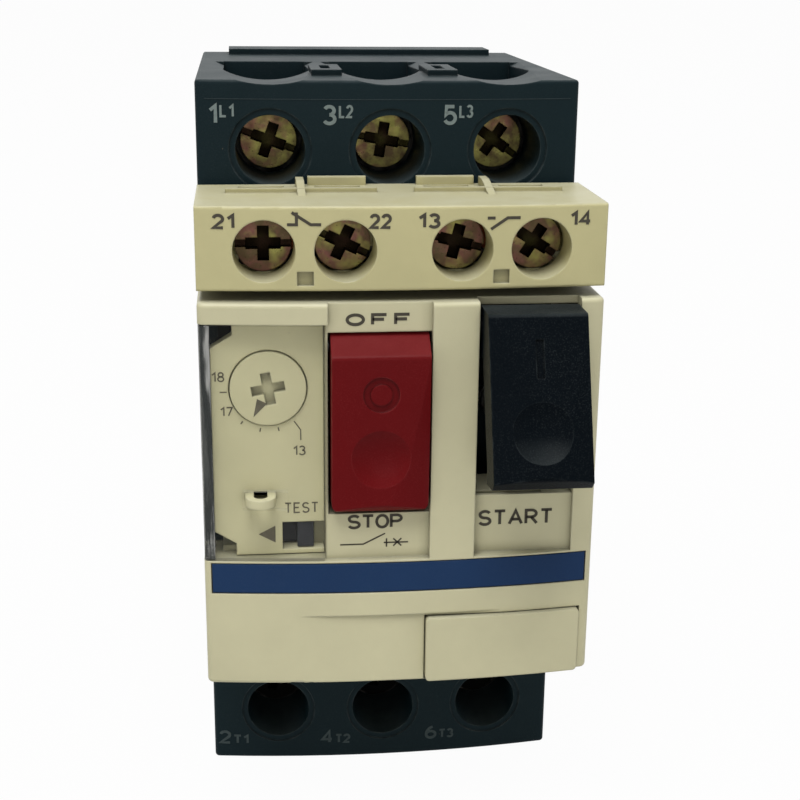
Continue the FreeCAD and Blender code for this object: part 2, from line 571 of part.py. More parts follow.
def front_housing():
    """Front moulding: both terminal fronts with their screw wells, the middle wall and pole chambers."""
    piece = Piece("front_housing_body")
    across = (minus(HALF), HALF)
    piece.pad("XY", (NOSE_TOP, TOP), bowed_outline(across, UPPER_FACE, "front_bow", SPLIT))
    piece.pad("XY", (minus(TOP), minus(NOSE_TOP)), bowed_outline(across, LOWER_FACE, "front_bow", SPLIT))
    piece.pad("XY", (minus(NOSE_TOP), NOSE_TOP), box_outline(across, (MID_FACE, SPLIT)))
    piece.round("housing_corner", either(
        *[runs_along("z", x=side, y=face) for side in across for face in (UPPER_FACE, LOWER_FACE)]))
    piece.round("housing_edge", either(
        *[runs_along("y", x=side, z=end) for side in across for end in (TOP, minus(TOP))]))
    mid_cavity = f"({NOSE_TOP} - end_wall)"
    for pole in POLES:
        piece.pocket("XZ", (WELL_END, SPLIT), box_outline(about(pole, CHAMBER), (minus(mid_cavity), CAVITY_TOP)))
        piece.pocket("XZ", (LOAD_WELL_END, SPLIT),
                     box_outline(about(pole, CHAMBER), (minus(CAVITY_TOP), minus(mid_cavity))))
        piece.pocket("XZ", (MID_BACK, WELL_END),
                     box_outline(about(pole, CHAMBER), (minus(mid_cavity), mid_cavity)))
        for height, end in (("upper_screw_height", WELL_END), ("(-lower_screw_height)", LOAD_WELL_END)):
            piece.pocket("XZ", (FAR_FRONT, end), Round(pole, height, "well_dia/2"))
        for z in ((CAVITY_TOP, TOP), (minus(TOP), minus(CAVITY_TOP))):
            piece.pocket("XY", z, Round(pole, behind("entry_setback + entry_width/2"), "entry_width/2"))
    wire_entries(piece, (behind("entry_setback + entry_width/2"), SPLIT))
    piece.pocket("YZ", (minus(CHAMBERS_OUT), CHAMBERS_OUT), box_outline(
        (MID_BACK, f"{CARRIER_BACK} + contact_gap + touch_gap"),
        about(CONTACT_MIDDLE, "carrier_height + 2*touch_gap")))
    piece.pocket("XZ", (MID_FACE, MID_BACK), box_outline(
        about(START_MIDDLE, "pusher_size + 2*touch_gap"), about(NUB_Z, "pusher_size + 2*touch_gap")))
    piece.pocket("XZ", (FAR_FRONT, f"{CARRIER_BACK} + contact_gap"), box_outline(
        about(PRONG_X, "aux_stub_width + 4*touch_gap"),
        (f"{CONTACT_MIDDLE} + carrier_height/2", f"{PRONG_Z[1]} + touch_gap")))
    piece.pocket("XZ", (MID_FACE, MID_BACK), box_outline(
        (f"{TEST_RIGHT} - test_knob - trip_travel - link_width - 2*touch_gap", f"{TEST_RIGHT} - test_knob"),
        (f"{TRIP_LOW} - touch_gap", f"{TRIP_LOW} + link_width + touch_gap")))
    for side in ("aux_lug_x", "(-aux_lug_x)"):
        piece.pocket("XZ", (FAR_FRONT, f"{AUX_BACK} + aux_lug_length + touch_gap"), box_outline(
            about(side, "aux_lug_width + 2*slide_clearance"),
            (f"{AUX_FLOOR} - slide_clearance", f"{AUX_FLOOR} + aux_lug_height + slide_clearance")))
    for x, z in rivet_places():
        piece.pocket("XZ", (f"{SPLIT} - rivet_bite - seat_gap", SPLIT),
                     Round(x, z, "rivet_radius + running_clearance"))
    rings = [well_rings(UPPER_FACE, "upper_screw_height"), well_rings(LOWER_FACE, "(-lower_screw_height)")]
    dished = cut("front_housing_dished", piece.body, end_dishes("front_housing") + rings)
    # Posts on the top between the line terminals, slotted for barrier plates
    posts, slots = [], []
    for x in (PRONG_X, minus(PRONG_X)):
        posts.append(block("barrier_post", about(x, "barrier_post_width"),
                           run(behind("entry_setback - barrier_post_length/2"), "barrier_post_length"),
                           (f"{TOP} - barrier_slot_depth", f"{TOP} + barrier_post_height")))
        slots.append(block("barrier_slot", about(x, "barrier_slot_width"),
                           run(behind("entry_setback - barrier_slot_length/2"), "barrier_slot_length"),
                           (f"{TOP} - barrier_slot_depth", f"{TOP} + barrier_slot_depth")))
    keep(cut("front_housing", fuse("front_housing_posts", [dished] + posts), slots))


def housing_rivets():
    """Four rivets that hold the two mouldings together, headed at the rear."""
    rivets = []
    for x, z in rivet_places():
        shank = rod("rivet_shank", "y", "rivet_radius", (f"{SPLIT} - rivet_bite", "rail_depth"), (x, z))
        head = rod("rivet_head", "y", "rivet_head_radius", ("rail_depth - rivet_head_height", "rail_depth"), (x, z))
        rivets.append(fuse("rivet", [shank, head]))
    keep(group("housing_rivets", rivets))


def rail_clip():
    """Sliding foot that hooks the lower rail flange, with the window that holds its spring."""
    piece = Piece("rail_clip")
    tip = "(-rail_height/2 + clip_lap)"
    half = "clip_width/2"
    piece.pad("XZ", CLIP_Y, box_outline((minus(half), half), (CLIP_LOW, tip)))
    piece.pocket("XZ", CLIP_Y, box_outline(
        about("0", "clip_boss_size + 4*slide_clearance"),
        (f"{CLIP_BOSS_LOW} - touch_gap", f"{CLIP_BOSS_HIGH} + clip_spring_length")))
    piece.pocket("YZ", (minus(half), half), [
        ("clip_setback", f"{tip} - clip_lap"), ("clip_setback + clip_thickness/2", tip), ("clip_setback", tip)])
    keep(piece)
    keep(coil_spring("rail_clip_spring", "z", "clip_spring_radius", "clip_spring_wire", 7,
                     run(CLIP_BOSS_HIGH, "clip_spring_length"), ("0", "clip_setback + clip_thickness/2")))


# Power terminals and poles

def drive_cut(label, x, z, head_y, across, up, depth, turn):
    """A slot in a screw's head, turned about the screw's axis."""
    item = doc.addObject("Part::Box", label)
    bind(item, "Length", across)
    bind(item, "Width", depth)
    bind(item, "Height", up)
    lean = Rotation(Vector(0, 1, 0), turn)
    start = lean.multVec(Vector(-value(across)/2, 0, -value(up)/2))
    item.Placement = FreeCAD.Placement(Vector(value(x), value(head_y), value(z)) + start, lean)
    return item


def terminal_screw(label, x, z, head_y, head_dia, head_height, shank_dia, shank_length, turn):
    """A cheese-head screw along Y with a slot across its head and a deeper cross in its middle."""
    head = rod(label + "_head", "y", f"{head_dia}/2", run(head_y, head_height), (x, z))
    shank = rod(label + "_shank", "y", f"{shank_dia}/2",
                run(f"{head_y} + {head_height}", shank_length), (x, z))
    arm = f"{head_dia}*cross_share"
    sides = ((f"{head_dia}*1.2", "drive_slot", "drive_depth"), (arm, "cross_width", "cross_depth"),
             ("cross_width", arm, "cross_depth"))
    tools = [drive_cut(label + "_slot", x, z, head_y, *side, turn) for side in sides]
    return cut(label, fuse(label + "_blank", [head, shank]), tools)


def power_terminals():
    """Screws and saddles of the line terminals above and the load terminals below."""
    for side, z, drop in (("line", "upper_screw_height", "0"), ("load", "(-lower_screw_height)", "load_head_drop")):
        head_y = f"({UPPER_FACE} + head_recess + {drop})"
        saddle_y = f"({head_y} + head_height)"
        screws = [terminal_screw(side + "_screw", pole, z, head_y, "head_dia", "head_height", "shank_dia",
                                 f"(shank_length - {drop})", turn) for pole, turn in zip(POLES, POWER_SCREW_TURNS)]
        keep(group(f"{side}_terminal_screws", screws))
        saddles = []
        for pole in POLES:
            plate = block("saddle_plate", about(pole, "saddle_size"), run(saddle_y, "saddle_thickness"),
                          about(z, "saddle_size"))
            hole = rod("saddle_hole", "y", "shank_dia/2 + running_clearance",
                       run(saddle_y, "saddle_thickness"), (pole, z))
            saddles.append(cut("saddle", plate, [hole]))
        keep(group(f"{side}_clamp_plates", saddles))


def contact_strips():
    """Copper strips of each pole: line pad with upper contact, coil feed, and load pad with its foot."""
    line, feed, load, tips = [], [], [], []
    across = (STRIP_FRONT, STRIP_BACK)
    for pole in POLES:
        line_pad = run("upper_screw_height + saddle_size/2 - strip_pad", "strip_pad")
        pad = block("line_pad", about(pole, "strip_width"), across, line_pad)
        neck = block("line_neck", about(pole, "strip_neck"), across, ("contact_height - tip_radius", line_pad[0]))
        hole = rod("line_hole", "y", "shank_dia/2 + running_clearance", across, (pole, "upper_screw_height"))
        line.append(cut("line_strip", fuse("line_blank", [pad, neck]), [hole]))
        stem = block("feed_stem", about(pole, "strip_neck"), across, (COIL_FOOT, f"{LOWER_CONTACT} + tip_radius"))
        foot = block("feed_foot", about(pole, "strip_neck"), (STRIP_BACK, f"{COIL_Y} - coil_radius - touch_gap"),
                     run(COIL_FOOT, "strip_thickness"))
        feed.append(fuse("coil_feed", [stem, foot]))
        load_low = "(-lower_screw_height - saddle_size/2)"
        pad = block("load_pad", about(pole, "strip_width"), across, (load_low, LOAD_FOOT_TOP))
        foot = block("load_foot", about(pole, "strip_width"), run(STRIP_BACK, "load_foot_depth"),
                     (f"{LOAD_FOOT_TOP} - strip_thickness", LOAD_FOOT_TOP))
        hole = rod("load_hole", "y", "shank_dia/2 + running_clearance", across, (pole, "(-lower_screw_height)"))
        load.append(cut("load_strip", fuse("load_blank", [pad, foot]), [hole]))
        for height in ("contact_height", LOWER_CONTACT):
            tips.append(rod("fixed_tip", "y", "tip_radius", (FIXED_TIP_FRONT, STRIP_FRONT), (pole, height)))
    keep(group("line_contact_strips", line))
    keep(group("coil_contact_strips", feed))
    keep(group("load_terminal_strips", load))
    keep(group("fixed_contact_tips", tips))


def moving_contacts():
    """The carrier across the poles, with its bridges, tips and contact springs, and its two push rods."""
    parts = [block("carrier_bar", about("0", f"2*{PITCH} + 7"), (CARRIER_FRONT, CARRIER_BACK),
                   about(CONTACT_MIDDLE, "carrier_height"))]
    window_front = f"({BRIDGE_FRONT} - contact_spring_length)"
    window_back = f"({BRIDGE_BACK} + seat_gap)"
    windows, bridges, tips, springs = [], [], [], []
    for pole in POLES:
        parts.append(block("finger", about(pole, "bridge_width + 2*finger_wall"),
                           (CARRIER_BACK, f"{window_back} + finger_wall"),
                           about(CONTACT_MIDDLE, "contact_span - 2*tip_radius - 2.4")))
        windows.append(block("finger_window", about(pole, "bridge_width + 2*seat_gap"), (window_front, window_back),
                             about(CONTACT_MIDDLE, "contact_span")))
        bridges.append(block("bridge", about(pole, "bridge_width"), (BRIDGE_FRONT, BRIDGE_BACK),
                             about(CONTACT_MIDDLE, "contact_span + 2*tip_radius")))
        for height in ("contact_height", LOWER_CONTACT):
            tips.append(rod("moving_tip", "y", "tip_radius", (BRIDGE_BACK, MOVING_TIP_BACK), (pole, height)))
        springs.append(coil_spring("contact_spring", "y", "contact_spring_radius", "contact_spring_wire", 4,
                                   (window_front, BRIDGE_FRONT), (pole, CONTACT_MIDDLE)))
    parts.append(block("pusher", about(START_MIDDLE, "pusher_size"), (PUSHER_END, CARRIER_BACK),
                       about(NUB_Z, "pusher_size")))
    post_y = (f"{CARRIER_BACK} - prong_depth", CARRIER_BACK)
    parts.append(block("prong_post", about(PRONG_X, "aux_stub_width"), post_y, (CONTACT_MIDDLE, PRONG_Z[1])))
    parts.append(block("prong", about(PRONG_X, "aux_stub_width"),
                       (f"{AUX_BACK} + aux_stub_reach + touch_gap", CARRIER_BACK), PRONG_Z))
    keep(cut("contact_carrier", fuse("carrier_blank", parts), windows))
    keep(group("moving_contact_bridges", bridges))
    keep(group("moving_contact_tips", tips))
    keep(group("contact_springs", springs))


def arc_chutes():
    """Stacks of notched splitter plates beside each contact gap, held between fibre cheeks."""
    cheeks = []
    count = int(value("plate_count"))
    stack_back = f"({FIXED_TIP_FRONT} - contact_gap)"
    upper = run("contact_height + tip_radius + touch_gap", "chute_length")
    lower = (f"{LOWER_CONTACT} - tip_radius - touch_gap - chute_length", f"{LOWER_CONTACT} - tip_radius - touch_gap")
    inner = f"({CHAMBER} - 2*slide_clearance - 2*chute_cheek)"
    for label, z, notch_end in (("arc_plates_upper", upper, 0), ("arc_plates_lower", lower, 1)):
        plates = []
        for pole in POLES:
            for number in range(count):
                y = run(f"{stack_back} - {number}*plate_pitch - plate_thickness", "plate_thickness")
                plate = block("plate", about(pole, inner), y, z)
                notch = rod("plate_notch", "y", "tip_radius", y, (pole, z[notch_end]))
                plates.append(cut("arc_plate", plate, [notch]))
            stack = (f"{stack_back} - plate_count*plate_pitch", stack_back)
            for side in (f"{pole} - {inner}/2 - chute_cheek", f"{pole} + {inner}/2"):
                cheeks.append(block("cheek", run(side, "chute_cheek"), stack, z))
        keep(group(label, plates))
    keep(group("arc_chute_cheeks", cheeks))


def magnetic_trips():
    """Coil, bobbin, yoke and striker of each pole."""
    coils, bobbins, yokes = [], [], []
    bore = "(striker_radius + running_clearance)"
    tube = f"({bore} + bobbin_wall)"
    whole = (COIL_FOOT, COIL_TOP)
    wound = (f"{COIL_FOOT} + bobbin_flange", f"{COIL_TOP} - bobbin_flange")
    yoke_arm = f"({COIL_TOP} + seat_gap)"
    for pole, name in zip(POLES, ("left", "middle", "right")):
        centre = (pole, COIL_Y)
        winding = rod("winding", "z", "coil_radius", wound, centre)
        coils.append(cut("coil", winding, [rod("winding_bore", "z", f"{tube} + seat_gap", wound, centre)]))
        flanges = [rod("bobbin_flange", "z", "coil_radius", run(z, "bobbin_flange"), centre)
                   for z in (COIL_FOOT, f"{COIL_TOP} - bobbin_flange")]
        core = rod("bobbin_tube", "z", tube, whole, centre)
        bobbins.append(cut("bobbin", fuse("bobbin_blank", [core] + flanges),
                           [rod("bobbin_bore", "z", bore, whole, centre)]))
        arms = [block("yoke_arm", about(pole, "strip_width"), (f"{COIL_Y} - coil_radius + yoke_thickness", "-back_wall"),
                      run(z, "yoke_thickness"))
                for z in (yoke_arm, f"{COIL_FOOT} - seat_gap - yoke_thickness")]
        back = block("yoke_back", about(pole, "strip_width"), ("-back_wall - yoke_thickness", "-back_wall"),
                     (f"{COIL_FOOT} - seat_gap - yoke_thickness", f"{yoke_arm} + yoke_thickness"))
        hole = rod("yoke_hole", "z", bore, (f"{COIL_FOOT} - 2*yoke_thickness", f"{COIL_TOP} + 2*yoke_thickness"), centre)
        yokes.append(cut("yoke", fuse("yoke_blank", arms + [back]), [hole]))
        plunger = rod("plunger", "z", "striker_radius", about("coil_height", "striker_length"), centre)
        pin = rod("striker_pin", "z", "striker_pin", ("-striker_reach", "coil_height"), centre)
        keep(fuse(f"striker_{name}", [plunger, pin]))
    keep(group("magnet_coils", coils))
    keep(group("coil_bobbins", bobbins))
    keep(group("magnet_yokes", yokes))


def thermal_trips():
    """Bimetals in their heater sleeves, standing on the load feet, and the slide that they move."""
    bimetals, heaters, notches = [], [], []
    y = about(f"{TRIP_FRONT} + bimetal_width/2", "bimetal_width")
    heater_z = about(f"{LOAD_FOOT_TOP} + bimetal_length/2 - touch_gap", "heater_length")
    for pole in POLES:
        x = f"({pole} - bimetal_offset)"
        bimetals.append(block("bimetal", about(x, "bimetal_thickness"), y, (LOAD_FOOT_TOP, BIMETAL_TOP)))
        grow = "touch_gap"
        inside = block("heater_inside", about(x, f"bimetal_thickness + 2*{grow}"),
                       (f"{y[0]} - {grow}", f"{y[1]} + {grow}"), heater_z)
        sleeve = block("heater_sleeve", about(x, f"bimetal_thickness + 2*{grow} + 2*heater_wall"),
                       (f"{y[0]} - {grow} - heater_wall", f"{y[1]} + {grow} + heater_wall"), heater_z)
        heaters.append(cut("heater", sleeve, [inside]))
        notches.append(block("slide_notch", (f"{x} - bimetal_thickness/2 - touch_gap",
                                             f"{x} + bimetal_thickness/2 + trip_travel + touch_gap"),
                             (f"{TRIP_FRONT} - touch_gap", f"{TRIP_BACK} + touch_gap"),
                             (f"{TRIP_LOW} - touch_gap", f"{BIMETAL_TOP} + touch_gap")))
    keep(group("bimetal_strips", bimetals))
    keep(group("heater_windings", heaters))
    bar = block("slide_bar", about("0", f"2*{PITCH} + {CHAMBER} - 2*trip_travel - 1"), (TRIP_FRONT, TRIP_BACK),
                (TRIP_LOW, TRIP_HIGH))
    link_right = f"({TEST_RIGHT} - test_knob - touch_gap)"
    link_x = (f"{link_right} - link_width", link_right)
    link_end = behind("frame_depth + touch_gap")
    arm = block("slide_arm", link_x, (link_end, TRIP_FRONT), run(TRIP_LOW, "link_width"))
    finger = block("slide_finger", link_x, run(link_end, "link_width"),
                   (TRIP_LOW, f"{TEST_LOW} + test_window_height/2"))
    keep(cut("trip_slide", fuse("slide_blank", [bar, arm, finger]), notches))


# Nose

def insert_x(which):
    """Left and right limits of the inserts on the apron."""
    if which == "label":
        return minus(f"{HALF} - label_margin"), f"({HALF} - label_margin)"
    return f"({HALF} - marker_margin - marker_width)", f"({HALF} - marker_margin)"


def insert_z(which):
    """Lower and upper limits of the inserts on the apron."""
    if which == "label":
        return f"({LEDGE} - label_gap - label_height)", f"({LEDGE} - label_gap)"
    return f"(-{NOSE_TOP} + marker_foot)", f"(-{NOSE_TOP} + marker_foot + marker_height)"


def grown(limits, by):
    """Two limits moved apart by a clearance on each side."""
    return f"{limits[0]} - {by}", f"{limits[1]} + {by}"


def front_cover():
    """The nose: a bowed shell with the rocker bays, the setting recess and the seats on its apron."""
    piece = Piece("front_cover")
    across = (minus(HALF), HALF)
    height = (minus(NOSE_TOP), NOSE_TOP)
    plane = behind("0")
    piece.pad("XY", height, bowed_outline(across, plane, "front_bow", MID_FACE))
    piece.round("nose_corner", either(*[runs_along("z", x=side, y=plane) for side in across]))
    bow_front = value(f"{plane} - front_bow")
    piece.round("nose_edge", lambda e: abs(abs(e.BoundBox.Center.z) - value(NOSE_TOP)) < 0.01
                and e.BoundBox.ZLength < 0.01 and abs(e.BoundBox.YMin - bow_front) < 0.3
                and e.BoundBox.XLength > value(HALF))
    inner_x = (f"-{HALF} + nose_wall", f"{HALF} - nose_wall")
    inner_z = (f"-{NOSE_TOP} + nose_wall", f"{NOSE_TOP} - nose_wall")
    piece.pocket("XZ", (behind("frame_depth"), MID_FACE), box_outline(inner_x, inner_z))
    piece.pocket("XZ", (behind("nose_front_wall"), MID_FACE), box_outline(
        inner_x, (inner_z[0], f"{LEDGE} - frame_wall")))
    # Setting recess: seat of the panel, slot of the clear cover's side wall, and the way through
    setting_z = (LEDGE, SETTING_TOP)
    piece.pocket("XZ", (FAR_FRONT, PANEL_BACK), box_outline((f"-{HALF} - 1", SETTING_RIGHT), setting_z))
    piece.pocket("XZ", (FAR_FRONT, behind("hinge_slot_depth")), box_outline(
        (f"-{HALF} - 1", f"-{HALF} + hinge_slot_width"), setting_z))
    piece.pocket("XZ", (PANEL_BACK, behind("frame_depth")), box_outline(
        (f"-{HALF} + nose_wall", f"{SETTING_RIGHT} - panel_ledge_right"),
        (f"{LEDGE} + panel_ledge", f"{SETTING_TOP} - panel_ledge")))
    for z in ((SETTING_TOP, f"{SETTING_TOP} + cover_pin_length + seat_gap"),
              (f"{LEDGE} - cover_pin_length - seat_gap", LEDGE)):
        piece.pocket("XY", z, Round(HINGE_X, HINGE_Y, "cover_pin_radius + running_clearance"))
    # STOP: text field and bay
    piece.pocket("XZ", (FAR_FRONT, f"{plane} - front_bow + stop_field_recess"),
                 box_outline((STOP_LEFT, STOP_RIGHT), (LEDGE, f"{NOSE_TOP} + 1")))
    piece.pocket("XZ", (FAR_FRONT, f"{plane} - front_bow + stop_field_recess"),
                 box_outline((SETTING_RIGHT, STOP_LEFT), (LEDGE, SETTING_TOP)))
    piece.pocket("XZ", (FAR_FRONT, MID_FACE), box_outline((STOP_LEFT, STOP_RIGHT), (STOP_FLOOR, STOP_CEILING)))
    # START: text field and bay
    field = f"{bow_y(plane, 'front_bow', START_RIGHT)} + start_field_recess"
    piece.pocket("XZ", (FAR_FRONT, field), box_outline((START_LEFT, START_RIGHT), (LEDGE, START_FLOOR)))
    piece.pocket("XZ", (FAR_FRONT, MID_FACE), box_outline((START_LEFT, START_RIGHT), (START_FLOOR, RIM)))
    piece.pocket("XZ", (FAR_FRONT, behind("start_notch_depth")), box_outline(
        (START_LEFT, START_RIGHT), (RIM, f"{NOSE_TOP} + 1")))
    piece.pocket("XZ", run(f"({field} + floor_slot_setback)", "floor_slot_width"), box_outline(
        run(START_LEFT, "floor_slot_length"), (f"{START_FLOOR} - floor_slot_depth", START_FLOOR)))
    # Cored rib between the bays, with the pin seats
    piece.pocket("XZ", (behind("nose_front_wall"), behind("frame_depth")), box_outline(
        (f"{STOP_RIGHT} + pin_seat", f"{START_LEFT} - pin_seat"), (START_FLOOR, inner_z[1])))
    for x, y, z in (((f"{START_LEFT} - pin_seat", f"{START_RIGHT} + pin_seat"), START_PIVOT_Y, START_PIVOT_Z),
                    ((f"{STOP_LEFT} - pin_seat", f"{STOP_RIGHT} + pin_seat"), STOP_PIVOT_Y, STOP_PIVOT_Z)):
        piece.pocket("YZ", x, Round(y, z, "pin_radius + running_clearance"))
    # Apron: stepped lower panel and the seats of the label and the marker plate
    piece.pocket("XY", (minus(NOSE_TOP), f"-{NOSE_TOP} + lower_panel"), [
        (f"-{HALF} - 1", FAR_FRONT), (f"{HALF} + 1", FAR_FRONT), (f"{HALF} + 1", f"{plane} - front_bow + lower_step"),
        (f"-{HALF} - 1", f"{plane} - front_bow + lower_step")])
    for which in ("label", "marker"):
        piece.pocket("XZ", (FAR_FRONT, behind("insert_back")), box_outline(
            grown(insert_x(which), "insert_gap"), grown(insert_z(which), "insert_gap")))
    keep(piece)


def apron_inserts():
    """The bare label strip and the proud marker plate, bowed like the apron that they sit in."""
    label = Piece("label_insert")
    label.pad("XY", insert_z("label"),
              bowed_outline(insert_x("label"), behind("0"), "front_bow", behind("insert_back"), "seat_gap"))
    keep(label)
    marker = Piece("marker_plate")
    left, right = insert_x("marker")
    low, high = insert_z("marker")
    marker.pad("XY", (low, high),
               bowed_outline((left, right), behind("0"), "front_bow", behind("insert_back"), "-marker_proud"))
    corners = [(value(x), value(z)) for x in (left, right) for z in (low, high)]
    marker.round("marker_corner", lambda e: e.BoundBox.XLength < 0.01 and e.BoundBox.ZLength < 0.01
                 and any(abs(e.BoundBox.Center.x - x) < 0.01 and abs(e.BoundBox.Center.z - z) < 0.01
                         for x, z in corners))
    keep(marker)


def setting_panel():
    """Panel with notched left corners, the dial hole, the TEST window and the sealing lug."""
    piece = Piece("setting_panel_plate")
    left = f"(-{HALF} + panel_left)"
    right = f"({SETTING_RIGHT} - insert_gap)"
    low = f"({LEDGE} + insert_gap)"
    high = f"({SETTING_TOP} - insert_gap)"
    notch = f"({left} + corner_notch_width)"
    piece.pad("XZ", (PANEL_FRONT, PANEL_BACK), [
        (left, f"{low} + corner_notch_drop + corner_slant"), (notch, f"{low} + corner_notch_drop"), (notch, low),
        (right, low), (right, high), (notch, high), (notch, f"{high} - corner_notch_drop"),
        (left, f"{high} - corner_notch_drop - corner_slant")])
    piece.pocket("XZ", (PANEL_FRONT, PANEL_BACK), Round(DIAL_X, "dial_height", "dial_dia/2 + slide_clearance"))
    piece.pocket("XZ", (PANEL_FRONT, PANEL_BACK), box_outline(
        (TEST_LEFT, f"{right} + 1"), run(TEST_LOW, "test_window_height")))
    nose = "(lug_width/2)"
    tongue = block("lug_tongue", about(LUG_X, "lug_width"), (behind(f"{nose} - lug_reach"), PANEL_BACK),
                   run("lug_height", "lug_thickness"))
    tip = rod("lug_tip", "z", nose, run("lug_height", "lug_thickness"), (LUG_X, behind(f"{nose} - lug_reach")))
    eye = rod("lug_eye", "z", "lug_hole/2", run("lug_height", "lug_thickness"), (LUG_X, behind(f"{nose} - lug_reach")))
    throat = block("lug_throat", about(LUG_X, "lug_hole"), (behind(f"{nose} - lug_reach"), PANEL_BACK),
                   run("lug_height", "lug_thickness"))
    keep(cut("setting_panel", fuse("panel_blank", [piece.body, tongue, tip]), [eye, throat]))


def setting_dial():
    """Slotted dial that snaps behind the panel, with its shaft and cam."""
    front = behind("panel_setback - touch_gap")
    centre = (DIAL_X, "dial_height")
    disc = rod("dial_disc", "y", "dial_dia/2", (front, f"{PANEL_BACK} + seat_gap"), centre)
    flange = rod("dial_flange", "y", "dial_dia/2 + dial_flange",
                 run(f"{PANEL_BACK} + seat_gap", "dial_flange_thickness"), centre)
    shaft = rod("dial_shaft", "y", "dial_shaft_dia/2", run(front, "dial_length"), centre)
    cam = rod("dial_cam", "y", "dial_cam_dia/2", (f"{front} + dial_length - dial_flange_thickness*1.5",
                                                  f"{front} + dial_length"),
              (f"{DIAL_X} + dial_cam_throw", "dial_height"))
    slots = [turned_slot(*sides) for sides in (("dial_slot_length", "dial_slot"), ("dial_slot", "dial_slot_length"))]
    keep(cut("setting_dial", fuse("dial_blank", [disc, flange, shaft, cam]), slots))


def turned_slot(across, up):
    """A slot in the dial's face, turned about the dial's axis."""
    slot = doc.addObject("Part::Box", "dial_cut")
    bind(slot, "Length", across)
    bind(slot, "Width", "dial_slot_depth + touch_gap")
    bind(slot, "Height", up)
    lean = Rotation(Vector(0, 1, 0), value("dial_slot_turn"))
    middle = Vector(value(DIAL_X), 0, value("dial_height"))
    start = Vector(-value(across)/2, value(behind("panel_setback - 2*touch_gap")), -value(up)/2)
    slot.Placement = FreeCAD.Placement(middle + lean.multVec(start), lean)
    return slot


def clear_cover():
    """Clear cover with its side wall, trunnions on the hinge axis and the slot for the sealing lug."""
    x = (f"(-{HALF} + seat_gap)", f"({SETTING_RIGHT} - cover_gap)")
    z = (f"({LEDGE} + cover_gap)", f"({SETTING_TOP} - cover_gap)")
    outer = Piece("cover_outer")
    outer.pad("XY", z, bowed_outline(x, behind("0"), "front_bow", behind("cover_wall_depth"), "seat_gap"))
    plane_y = value(bow_y(behind("0"), "front_bow", x[0]))
    outer.round("cover_corner", lambda e: e.BoundBox.ZLength > 1 and e.BoundBox.XLength < 0.01
                and abs(e.BoundBox.Center.x - value(x[0])) < 0.01 and abs(e.BoundBox.Center.y - plane_y) < 0.2)
    wall = f"({x[0]} + cover_thickness)"
    inner = Piece("cover_inner")
    inner.pad("XY", (f"{z[0]} - 1", f"{z[1]} + 1"), bowed_outline(
        (wall, f"({x[1]} + 1)"), behind("0"), "front_bow", behind("cover_wall_depth + 1"), "seat_gap + cover_thickness"))
    slot = block("lug_slot", (f"{LUG_X} - lug_width/2 - touch_gap", f"{LUG_X} + lug_width/2 + cover_slot_room"),
                 (FAR_FRONT, PANEL_FRONT), ("lug_height - touch_gap*2", "lug_height + lug_thickness + touch_gap*2"))
    shell = cut("cover_shell", outer.body, [inner.body, slot])
    pins = [rod("cover_pin", "z", "cover_pin_radius", span, (HINGE_X, HINGE_Y))
            for span in (run(f"{z[1]} - cover_pin_length", "2*cover_pin_length"),
                         run(f"{z[0]} - cover_pin_length", "2*cover_pin_length"))]
    keep(fuse("clear_cover", [shell] + pins))


def hinge_liner():
    """Dark strip on the floor of the hinge slot, seen through the clear cover."""
    keep(block("hinge_liner", (f"-{HALF} + seat_gap", f"-{HALF} + hinge_slot_width - seat_gap"),
               (behind("hinge_slot_depth - liner_thickness"), behind("hinge_slot_depth")),
               (f"{LEDGE} + insert_gap", f"{SETTING_TOP} - insert_gap")))


def test_slider():
    """Slide in the TEST window, with the leg that pushes the trip slide."""
    knob_x = (f"{TEST_RIGHT} - test_knob", f"{TEST_RIGHT} - slide_clearance")
    z = (f"{TEST_LOW} + slide_clearance", f"{TEST_LOW} + test_window_height - slide_clearance")
    knob = block("test_knob", knob_x, (behind("panel_setback + touch_gap"), f"{PANEL_BACK} + seat_gap"), z)
    shoe = block("test_shoe", (f"{TEST_LEFT} - touch_gap", f"{knob_x[1]} - touch_gap"),
                 run(f"{PANEL_BACK} + seat_gap", "panel_thickness/2"), (f"{z[0]} + slide_clearance", f"{z[1]} + touch_gap*2"))
    leg = block("test_leg", run(knob_x[0], "link_width"), (PANEL_BACK, behind("test_reach")),
                about(f"{TEST_LOW} + test_window_height/2", "link_width"))
    keep(fuse("test_slider", [knob, shoe, leg]))


# Rockers

def crown(label, x, low, high):
    """A wide cylinder along a rocker's front that bows its low end by the crown and leaves its high end straight."""
    radius = f"((({x[1]}) - ({x[0]}))^2/(8*button_crown))"
    foot, head = [Vector((value(x[0]) + value(x[1]))/2, value(y), value(z)) for y, z in (low, high)]
    along = (head - foot).normalize()
    head = head - Vector(0, along.z, -along.y)*value("button_crown")
    along = (head - foot).normalize()
    inward = Vector(0, along.z, -along.y)
    spare = value("body_width")
    item = doc.addObject("Part::Cylinder", label + "_crown")
    bind(item, "Radius", radius)
    bind(item, "Height", "3*body_width")
    item.Placement = FreeCAD.Placement(foot + inward*value(radius) - along*spare, Rotation(Vector(0, 0, 1), along))
    return item


def corner_prism(label, x, low):
    """A prism along Y as wide as a rocker, with its two lower corners rounded."""
    piece = Piece(label + "_corners")
    piece.pad("XZ", (FAR_FRONT, MID_FACE), box_outline(x, (low, NOSE_TOP)))
    piece.round("button_corner", lambda e: e.BoundBox.YLength > 1 and e.BoundBox.Center.z < value(low) + 0.01)
    return piece.body


